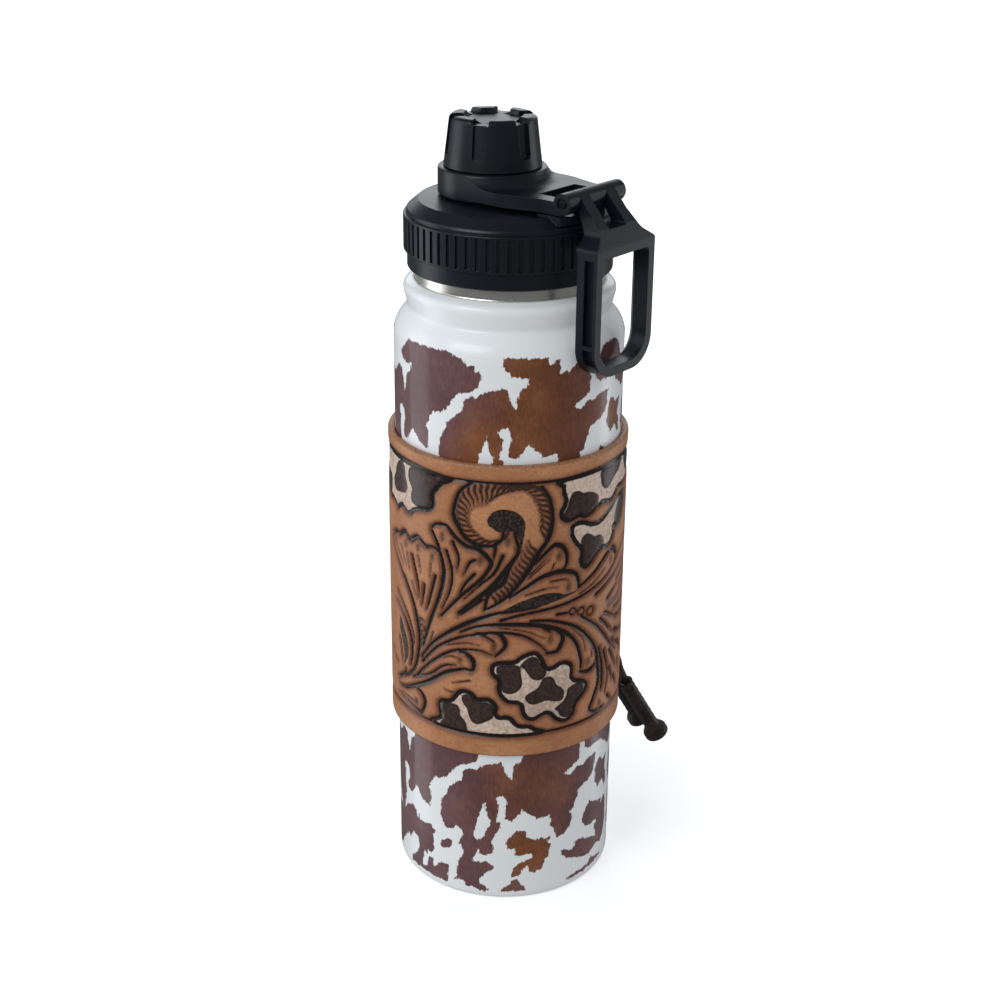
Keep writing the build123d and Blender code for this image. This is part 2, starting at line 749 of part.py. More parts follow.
def handle_yoke():
    """Arms that drop from the pin in a shallow S and widen into the loop's top bar."""
    reach_x = loop_front_x - pin_reach
    drop_z = pin_z - loop_top_z
    eye_top = (pin_reach + barrel_radius * eye_top_shares[0], pin_z + barrel_radius * eye_top_shares[1])
    eye_low = (pin_reach + barrel_radius * eye_low_shares[0], pin_z + barrel_radius * eye_low_shares[1])
    knee_top = (pin_reach + reach_x * knee_top_shares[0], pin_z - drop_z * knee_top_shares[1])
    knee_low = (pin_reach + reach_x * knee_low_shares[0], pin_z - drop_z * knee_low_shares[1])
    bar_z = loop_top_z - loop_thickness
    side = side_profile([(pin_reach, pin_z), eye_top, knee_top, (loop_front_x, loop_top_z),
                         (loop_front_x, bar_z), (loop_back_x, bar_z), knee_low, eye_low],
                        [0, 0, knee_rounding, loop_upper_corner, 0, 0, knee_rounding, 0], loop_half_width)
    arm_top_z = pin_z + barrel_radius + cut_overrun
    front = front_profile([(-loop_half_width, bar_z), (loop_half_width, bar_z),
                           (loop_half_width, loop_top_z), (arm_low_half_width, arm_flare_z),
                           (arm_end, arm_splay_z), (arm_end, arm_top_z),
                           (-arm_end, arm_top_z), (-arm_end, arm_splay_z),
                           (-arm_low_half_width, arm_flare_z), (-loop_half_width, loop_top_z)],
                          [0, 0, loop_upper_corner, arm_flare_rounding, 0, 0,
                           0, 0, arm_flare_rounding, loop_upper_corner],
                          pin_reach - barrel_radius, loop_front_x)
    window = front_profile([(-arm_window_half_width, arm_window_z),
                            (arm_window_half_width, arm_window_z),
                            (arm_start, arm_neck_z), (arm_start, arm_top_z),
                            (-arm_start, arm_top_z), (-arm_start, arm_neck_z)],
                           [window_rounding, window_rounding, 0, 0, 0, 0],
                           pin_reach - barrel_radius - cut_overrun, loop_front_x + cut_overrun)
    return (side & front) - window


def carry_handle():
    inner_half = loop_half_width - loop_thickness
    outer_points = [(-loop_half_width, loop_bottom_z), (loop_half_width, loop_bottom_z),
                    (loop_half_width, loop_top_z), (-loop_half_width, loop_top_z)]
    inner_points = [(-inner_half, loop_bottom_z + loop_thickness),
                    (inner_half, loop_bottom_z + loop_thickness),
                    (inner_half, loop_top_z - loop_thickness),
                    (-inner_half, loop_top_z - loop_thickness)]
    outer_radii = [loop_corner, loop_corner, loop_upper_corner, loop_upper_corner]
    inner_radii = [loop_inner_corner, loop_inner_corner, loop_upper_corner, loop_upper_corner]
    loop = front_profile(outer_points, outer_radii, loop_back_x, loop_front_x)
    loop -= front_profile(inner_points, inner_radii, loop_back_x - cut_overrun, loop_front_x + cut_overrun)
    loop = chamfer(loop.faces().sort_by(Axis.X)[0].inner_wires()[0].edges(), loop_back_chamfer)
    loop -= handle_channel(outer_points)
    handle = loop + handle_yoke()
    for start in (arm_start, -arm_end):
        handle += along_pin(barrel_radius, start, start + handle_arm_width)
    return handle - hinge_cut(pin_radius + pin_clearance)


def least_lacing_gap(lacing_wire):
    """Smallest clear distance between stretches of the lace that lie apart along it."""
    length = lacing_wire.length
    count = int(length / least_gap_sample)
    places = [lacing_wire @ (index / count) for index in range(count + 1)]
    apart = int(6 * lace_radius / least_gap_sample)
    least = min((places[a] - places[b]).length
                for a in range(count) for b in range(a + apart, count + 1))
    return least - 2 * lace_radius


near_route = near_tail_route()
far_route = far_tail_route()
lacing_wire = lacing_route()
print("lacing gap to itself:", round(least_lacing_gap(lacing_wire), 2))

parts = {
    "outer_shell": outer_shell(),
    "inner_liner": inner_liner(),
    "base_cup": base_cup(),
    "base_pad": base_pad(),
    "getter": getter(),
    "leather_sleeve": leather_sleeve(),
    "back_lacing": tube(lacing_wire, lace_radius),
    "lace_tail_near": lace_tail(near_route),
    "lace_tail_far": lace_tail(far_route),
    "lace_tip_near": lace_tip(near_mouth),
    "lace_tip_far": lace_tip(far_mouth),
    "lid_gasket": lid_gasket(),
    "lid_shell": lid_shell(),
    "lid_liner": lid_liner(),
    "spout": spout(),
    "spout_seal": spout_seal(),
    "hinge_pin": hinge_pin(),
    "cap_strap": cap_strap(),
    "cap_shell": cap_shell(),
    "cap_liner": cap_liner(),
    "cap_gasket": cap_gasket(),
    "cap_snap_ring": cap_snap_ring(),
    "carry_handle": carry_handle(),
}

os.makedirs("parts", exist_ok=True)
for name, shape in parts.items():
    export_step(shape, f"parts/{name}.step")
    print(name, round(shape.volume, 1), len(shape.solids()))
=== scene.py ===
import math

import bmesh
import bpy
import numpy as np
from mathutils import Matrix, Vector


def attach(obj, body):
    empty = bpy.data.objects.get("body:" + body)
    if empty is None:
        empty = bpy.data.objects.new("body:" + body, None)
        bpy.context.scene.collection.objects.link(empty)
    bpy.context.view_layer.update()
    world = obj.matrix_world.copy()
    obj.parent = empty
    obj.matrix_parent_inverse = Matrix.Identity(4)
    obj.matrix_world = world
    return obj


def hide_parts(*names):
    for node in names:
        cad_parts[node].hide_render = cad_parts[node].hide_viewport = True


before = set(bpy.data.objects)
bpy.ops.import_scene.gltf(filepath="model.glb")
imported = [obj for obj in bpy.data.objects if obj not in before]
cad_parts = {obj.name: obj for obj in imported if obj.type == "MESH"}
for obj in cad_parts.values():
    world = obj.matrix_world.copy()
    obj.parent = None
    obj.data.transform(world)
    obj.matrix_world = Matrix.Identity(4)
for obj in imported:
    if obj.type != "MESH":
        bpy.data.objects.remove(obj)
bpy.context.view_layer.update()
mm = 0.001

# The camera stands where the photograph was taken from
photoCamera = {
    "place": (0.34000, -0.41245, 0.35960),
    "turn": 39.5, "pitch": 23.057, "roll": 0.635,
    "lens": 63.37, "sensor": 36.0, "shiftX": -0.0074,
}

# Sleeve sizes in millimetres; the seam's azimuth is in degrees
sleeve = {
    "bore": 36.75, "radius": 38.95, "bottom": 57.4, "top": 159.4,
    "seam": 71.5, "gap": 8.0, "holeInset": 4.5, "holeRadius": 1.5,
    "rows": 6, "bottomRow": 80.0, "topRow": 150.0,
    "edge": 0.9, "backEdge": 0.25, "backEdgeRise": 0.3, "backInset": 6,
    "turns": 424, "rowStep": 0.502, "lowMargin": 1.15, "highMargin": 1.1,
}

# Lace sizes in millimetres; its places are (degrees from the seam, radius, height)
lace = {
    "radius": 1.2, "lift": 0.85, "barLift": 0.25,
    "nearEnd": [(7.5, 37.95, 77.2), (3.0, 40.9, 74.4)],
    "farEnd": [(-6.0, 37.95, 76.5), (2.0, 38.2, 71.0)],
    "nearBend": (-10.5, 42.4, 66.8),
    "nearMouth": (-12.0, 45.0, 56.3), "farMouth": (3.0, 45.0, 56.3),
    "tilt": 30.0, "nearStraight": 3.0, "farStraight": 6.5,
    "nearLength": 39.0, "farLength": 33.0,
}

# A lace tip in millimetres: the tube, its flared end, and how far the rolled edge laps over and the
# tube ripples
tip = {
    "length": 27.6, "radius": 2.7, "bore": 1.35, "solid": 6.0,
    "flare": 4.4, "flareLength": 2.6, "slope": 2.4,
    "lap": 0.28, "ripple": 0.05, "waist": 0.12, "turns": 72,
}


def seamPoint(angle, radius, height):
    turn = math.radians(sleeve["seam"] + angle)
    return Vector((radius * math.cos(turn), radius * math.sin(turn), height))


def holeAngle():
    # Degrees from the seam's middle to each column of lace holes
    return math.degrees((sleeve["gap"] / 2 + sleeve["holeInset"]) / sleeve["radius"])


def tipDirection():
    turn = math.radians(sleeve["seam"] + lace["nearMouth"][0])
    tilt = math.radians(lace["tilt"])
    return Vector((math.sin(tilt) * math.cos(turn), math.sin(tilt) * math.sin(turn), -math.cos(tilt)))


def tailRoutes():
    # Each tail runs from the lacing's end over its bend to the floor of its tip
    reach = tip["length"] - tip["solid"]
    nearBend = seamPoint(*lace["nearBend"])
    nearMouth = seamPoint(*lace["nearMouth"])
    farMouth = seamPoint(*lace["farMouth"])
    farBend = farMouth - tipDirection() * lace["farStraight"]
    near = [(seamPoint(*lace["nearEnd"][-1]) + nearBend) / 2, nearBend,
            nearMouth - tipDirection() * lace["nearStraight"], nearMouth + tipDirection() * reach]
    far = [(seamPoint(*lace["farEnd"][-1]) + farBend) / 2, farBend, farMouth + tipDirection() * reach]
    return near, far


def strandPoints(side, over):
    # From each hole the strand goes under the leather, out of the gap and over to the next hole down
    inner = sleeve["bore"] + lace["radius"]
    outer = sleeve["radius"] + lace["radius"] + lace["lift"]
    step = (sleeve["topRow"] - sleeve["bottomRow"]) / (sleeve["rows"] - 1)
    # Places between two holes as (degrees from the seam, radius, share of the way down)
    crossing = ((6.0, inner, 0.28), (-4.0, inner, 0.62))
    if over:
        crossing = ((7.5, inner, 0.2), (3.0, outer, 0.4))
    points = []
    for row in range(sleeve["rows"]):
        height = sleeve["topRow"] - step * row
        points += [seamPoint(side * holeAngle(), radius, height) for radius in (outer, inner)]
        if row < sleeve["rows"] - 1:
            points += [seamPoint(side * angle, radius, height - step * share)
                       for angle, radius, share in crossing]
        side = -side
    return points


def cordPiece(name, points, radius):
    # A round cord along one smooth line, a third order NURBS whose control points are the route's.
    # Returns the cord and that line
    curve = bpy.data.curves.new(name, "CURVE")
    curve.dimensions = "3D"
    curve.resolution_u = 9
    spline = curve.splines.new("NURBS")
    spline.points.add(len(points) - 1)
    for point, place in zip(spline.points, points):
        point.co = (*[c * mm for c in place], 1)
    spline.order_u = 3
    spline.use_endpoint_u = True
    holder = bpy.data.objects.new(name + "Line", curve)
    bpy.context.scene.collection.objects.link(holder)

    def asMesh():
        bpy.context.view_layer.update()
        graph = bpy.context.evaluated_depsgraph_get()
        return bpy.data.meshes.new_from_object(holder.evaluated_get(graph))

    line = [tuple(vertex.co) for vertex in asMesh().vertices]
    curve.bevel_depth = radius * mm
    curve.bevel_resolution = 5
    curve.use_fill_caps = True
    piece = bpy.data.objects.new(name, asMesh())
    piece.data.name = name
    bpy.data.objects.remove(holder)
    bpy.context.scene.collection.objects.link(piece)
    weld(piece)
    return piece, line


def weld(piece):
    # Merges the points that lie on each other and turns every face outwards
    mesh = bmesh.new()
    mesh.from_mesh(piece.data)
    bmesh.ops.remove_doubles(mesh, verts=mesh.verts, dist=1e-6)
    bmesh.ops.recalc_face_normals(mesh, faces=mesh.faces)
    mesh.to_mesh(piece.data)
    mesh.free()
    piece.data.polygons.foreach_set("use_smooth", [True] * len(piece.data.polygons))


def makeCamera():
    # Turned about the upright, pitched down and rolled about its own line of sight
    turn, pitch, roll = (math.radians(photoCamera[key]) for key in ("turn", "pitch", "roll"))
    right = Vector((math.cos(turn), math.sin(turn), 0))
    up = Vector((-math.sin(pitch) * math.sin(turn), math.sin(pitch) * math.cos(turn), math.cos(pitch)))
    ahead = Vector((-math.cos(pitch) * math.sin(turn), math.cos(pitch) * math.cos(turn), -math.sin(pitch)))
    tiltedRight = right * math.cos(roll) + up * math.sin(roll)
    tiltedUp = up * math.cos(roll) - right * math.sin(roll)
    lens = bpy.data.cameras.new("photoCamera")
    lens.lens = photoCamera["lens"]
    lens.sensor_width = photoCamera["sensor"]
    lens.shift_x = photoCamera["shiftX"]
    camera = bpy.data.objects.new("photoCamera", lens)
    turned = Matrix((tiltedRight, tiltedUp, -ahead)).transposed().to_4x4()
    camera.matrix_world = Matrix.Translation(photoCamera["place"]) @ turned
    bpy.context.scene.collection.objects.link(camera)
    bpy.context.scene.camera = camera


class Signal:
    # One output of a material's nodes; sums and products of signals add Math nodes
    def __init__(self, paint, socket):
        self.paint = paint
        self.socket = socket

    def run(self, operation, *values, clamp=False):
        return self.paint.add("Math", {"operation": operation, "use_clamp": clamp}, dict(enumerate(values)))

    def __add__(self, other):
        return self.run("ADD", self, other)

    def __sub__(self, other):
        return self.run("SUBTRACT", self, other)

    def __rsub__(self, other):
        return self.run("SUBTRACT", other, self)

    def __mul__(self, other):
        return self.run("MULTIPLY", self, other)

    __radd__ = __add__
    __rmul__ = __mul__

    def most(self, other):
        return self.run("MAXIMUM", self, other)

    def clamped(self):
        return self.run("ADD", self, 0.0, clamp=True)

    def size(self):
        return self.run("ABSOLUTE", self)


class Paint:
    # A material under construction, with one Principled shader and an output
    def __init__(self, name):
        self.material = bpy.data.materials.new(name)
        self.material.use_nodes = True
        self.tree = self.material.node_tree
        self.tree.nodes.clear()
        self.shader = self.tree.nodes.new("ShaderNodeBsdfPrincipled")
        output = self.tree.nodes.new("ShaderNodeOutputMaterial")
        self.tree.links.new(self.shader.outputs[0], output.inputs[0])

    def add(self, kind, settings=None, values=None, output=0):
        node = self.tree.nodes.new("ShaderNode" + kind)
        for key, value in (settings or {}).items():
            setattr(node, key, value)
        for key, value in (values or {}).items():
            self.feed(node.inputs[key], value)
        return Signal(self, node.outputs[output])

    def feed(self, socket, value):
        if isinstance(value, Signal):
            self.tree.links.new(value.socket, socket)
        elif isinstance(value, tuple) and len(value) == 3 and socket.type == "RGBA":
            socket.default_value = (*value, 1.0)
        else:
            socket.default_value = value

    def set(self, **values):
        for key, value in values.items():
            self.feed(self.shader.inputs[key.replace("_", " ")], value)

    def field(self, name):
        return self.add("Attribute", {"attribute_name": name}, output=2)

    def place(self, scale=(1, 1, 1)):
        spot = self.add("TexCoord", output=3)
        return self.add("Mapping", None, {0: spot, 3: scale})

    def noise(self, spot, scale, detail=3.0, rough=0.5):
        return self.add("TexNoise", None,
                        {"Vector": spot, "Scale": scale, "Detail": detail, "Roughness": rough})

    def cells(self, spot, scale):
        return self.add("TexVoronoi", None, {"Vector": spot, "Scale": scale})

    def step(self, value, low, high, start=0.0, end=1.0):
        # Smooth change from start, at low, to end, at high
        return self.add("MapRange", {"interpolation_type": "SMOOTHSTEP"},
                        {0: value, 1: low, 2: high, 3: start, 4: end})

    def mix(self, share, first, second):
        return self.add("Mix", {"data_type": "RGBA"}, {0: share, 6: first, 7: second}, 2)

    def bump(self, height, distance, strength, normal=None):
        values = {"Height": height, "Distance": distance * mm, "Strength": strength}
        if normal is not None:
            values["Normal"] = normal
        return self.add("Bump", None, values)

    def softEdges(self, radius):
        return self.add("Bevel", {"samples": 4}, {"Radius": radius * mm})


def signedVolume(points, quads):
    # Sum of the corner products of each face's triangles: positive when faces point outwards
    a, b, c, d = (points[quads[:, k]] for k in range(4))
    return float((np.cross(a, b) * c).sum() + (np.cross(a, c) * d).sum())


def gridPiece(name, points, closedU, closedV, capEnds=False):
    # Quads over an array of points [u, v]; the ends along u may be closed by one face each
    countU, countV = points.shape[:2]
    flat = points.reshape(-1, 3)
    index = np.arange(countU * countV).reshape(countU, countV)
    rows = np.vstack([index, index[:1]]) if closedU else index
    grid = np.hstack([rows, rows[:, :1]]) if closedV else rows
    quads = np.stack([grid[:-1, :-1], grid[1:, :-1], grid[1:, 1:], grid[:-1, 1:]], -1).reshape(-1, 4)
    inside = signedVolume(flat, quads) < 0
    if inside:
        quads = quads[:, ::-1]
    faces = quads.tolist()
    if capEnds:
        first, last = index[0].tolist(), index[-1].tolist()
        faces += [first if inside else first[::-1], last[::-1] if inside else last]
    mesh = bpy.data.meshes.new(name)
    mesh.from_pydata((flat * mm).tolist(), [], faces)
    mesh.polygons.foreach_set("use_smooth", [True] * len(faces))
    mesh.update()
    piece = bpy.data.objects.new(name, mesh)
    bpy.context.scene.collection.objects.link(piece)
    return piece


def addField(piece, name, values):
    attribute = piece.data.attributes.new(name, "FLOAT", "POINT")
    attribute.data.foreach_set("value", np.asarray(values, np.float32).ravel())


def roundedPath(corners, steps):
    # Points of an open path of (radius, height, rounding) corners, each rounding an arc
    path = []
    for index, (x, z, rounding) in enumerate(corners):
        here = np.array((x, z), float)
        if rounding == 0 or index in (0, len(corners) - 1):
            path.append(here)
            continue
        back = np.array(corners[index - 1][:2]) - here
        ahead = np.array(corners[index + 1][:2]) - here
        back, ahead = back / np.linalg.norm(back), ahead / np.linalg.norm(ahead)
        half = math.acos(np.clip(back @ ahead, -1, 1)) / 2
        middle = (back + ahead) / np.linalg.norm(back + ahead)
        centre = here + middle * rounding / math.sin(half)
        start = here + back * rounding / math.tan(half) - centre
        end = here + ahead * rounding / math.tan(half) - centre
        sweep = math.pi - 2 * half
        for share in np.linspace(0, 1, steps + 1):
            mixed = (np.sin((1 - share) * sweep) * start + np.sin(share * sweep) * end) / math.sin(sweep)
            path.append(centre + mixed)
    return np.array(path)


def spread(path, gap):
    # The same path with points no further apart than the gap
    points = [path[0]]
    for first, second in zip(path[:-1], path[1:]):
        count = max(1, int(math.ceil(np.linalg.norm(second - first) / gap)))
        points += [first + (second - first) * (k + 1) / count for k in range(count)]
    return np.array(points)


def turnedGrid(path, angles):
    # Radius and height of each path point carried round the axis
    x = np.cos(angles)[:, None] * path[None, :, 0]
    y = np.sin(angles)[:, None] * path[None, :, 0]
    z = np.broadcast_to(path[None, :, 1], x.shape)
    return np.stack([x, y, z], -1)


def smoothLine(points, closed=False, steps=5):
    # Catmull-Rom curve through the points
    knots = np.array(points, float)
    if closed:
        knots = np.vstack([knots[-1:], knots, knots[:2]])
    else:
        knots = np.vstack([2 * knots[:1] - knots[1:2], knots, 2 * knots[-1:] - knots[-2:-1]])
    t = np.linspace(0, 1, steps, endpoint=False)[None, :, None]
    a, b, c, d = (k[:, None, :] for k in (knots[:-3], knots[1:-2], knots[2:-1], knots[3:]))
    curve = 0.5 * (2 * b + (c - a) * t + (2 * a - 5 * b + 4 * c - d) * t ** 2
                   + (3 * b - a - 3 * c + d) * t ** 3)
    curve = curve.reshape(-1, knots.shape[1])
    return curve if closed else np.vstack([curve, knots[-2:-1]])


def pairs(numbers):
    return np.array(numbers, float).reshape(-1, 2)


def ringed(line):
    # The line carried back to its first point
    return np.vstack([line, line[:1]])


def oval(around, up, wide, tall):
    # Twelve points round an upright ellipse
    turns = np.linspace(0, 2 * np.pi, 12, endpoint=False)
    return np.stack([around + wide * np.cos(turns), up + tall * np.sin(turns)], -1)


def segmentDistance(spots, starts, ends):
    # Distance from each spot to each segment, and the share along the segment of its nearest point
    run = ends - starts
    away = spots[:, None, :] - starts[None]
    share = np.clip((away * run).sum(-1) / np.maximum((run ** 2).sum(-1), 1e-9), 0, 1)
    return np.linalg.norm(away - share[..., None] * run, axis=-1), share


class Canvas:
    # A flat sheet of spots (s round the bottle, z up, in millimetres) that repeats every period
    def __init__(self, s, z, period, reach=3.0):
        self.spots = np.stack([s.ravel(), z.ravel()], -1)
        self.period = period
        self.reach = reach

    def blank(self):
        return np.full(len(self.spots), self.reach)

    def shifted(self, low, high):
        # Each copy of a motif that touches the sheet: which spots are near it, and their places in the motif
        first = math.floor((self.spots[:, 0].min() - high[0] - self.reach) / self.period)
        last = math.ceil((self.spots[:, 0].max() - low[0] + self.reach) / self.period)
        for copy in range(first, last + 1):
            moved = self.spots - (copy * self.period, 0)
            near = ((moved > low - self.reach) & (moved < high + self.reach)).all(-1)
            if near.any():
                yield near, moved[near]

    def stroke(self, field, line, widths):
        # Distance to a cut whose width runs from the first, through the middle, to the last value
        share = np.linspace(0, 1, len(line))
        half = np.interp(share, (0, 0.5, 1), widths) / 2
        for near, spots in self.shifted(line.min(0), line.max(0)):
            distance, along = segmentDistance(spots, line[:-1], line[1:])
            wide = half[:-1] * (1 - along) + half[1:] * along
            field[near] = np.minimum(field[near], (distance - wide).min(-1))

    def region(self, field, outline):
        # Signed distance to a closed outline, negative inside, kept where it is the least
        starts, ends = outline, np.roll(outline, -1, axis=0)
        for near, spots in self.shifted(outline.min(0), outline.max(0)):
            distance = segmentDistance(spots, starts, ends)[0].min(-1)
            above = (starts[None, :, 1] > spots[:, None, 1]) != (ends[None, :, 1] > spots[:, None, 1])
            rise = np.where(ends[:, 1] == starts[:, 1], 1e-9, ends[:, 1] - starts[:, 1])
            crossing = starts[:, 0] + (spots[:, None, 1] - starts[:, 1]) / rise * (ends - starts)[:, 0]
            inside = (above & (spots[:, None, 0] < crossing)).sum(-1) % 2 == 1
            field[near] = np.minimum(field[near], np.where(inside, -distance, distance))


def finish(piece, paint):
    # One material for the whole piece
    piece.data.materials.clear()
    piece.data.materials.append(paint.material)


def finishNode(name, paint):
    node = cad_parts[name]
    if not node.material_slots:
        node.data.materials.append(paint.material)
    for slot in node.material_slots:
        slot.material = paint.material


makeCamera()
nearRoute, farRoute = tailRoutes()
nearTail, nearLine = cordPiece("nearLaceTail", nearRoute, lace["radius"])
farTail, farLine = cordPiece("farLaceTail", farRoute, lace["radius"])
print("camera and free lace tails made")

# The coat in millimetres. Its outline is the outer shell's, as (radius, height, rounding), and its rows are
# the mesh's heights above the foot, as (from, to, step), coarse behind the sleeve
coatSizes = {
    "radius": 36.5, "foot": 2.6, "outward": 0.1, "inward": 0.2, "turns": 400,
    "outline": [(34.0, 0.12, 0), (36.5, 0.12, 2.5), (36.5, 194.5, 9), (32.0, 200.0, 1.8),
                (33.7, 206.9, 2.4), (30.15, 208.8, 0)],
    "rows": [(0.2, 58, 0.64), (60, 156, 8.0), (157, 193.6, 0.64)],
    "footTop": 4.0, "shoulderLow": 186, "shoulderStep": 0.8, "rowGap": 0.2,
    "printLow": 3.1, "printHigh": 193.6,
}

# Linear colours, each pair from its darker to its lighter end; deep and light are cool, then warm
coatColours = {
    "white": ((0.765, 0.79, 0.80), (0.80, 0.82, 0.825)),
    "deep": ((0.106, 0.043, 0.047), (0.122, 0.033, 0.012)),
    "light": ((0.190, 0.098, 0.104), (0.285, 0.098, 0.029)),
}

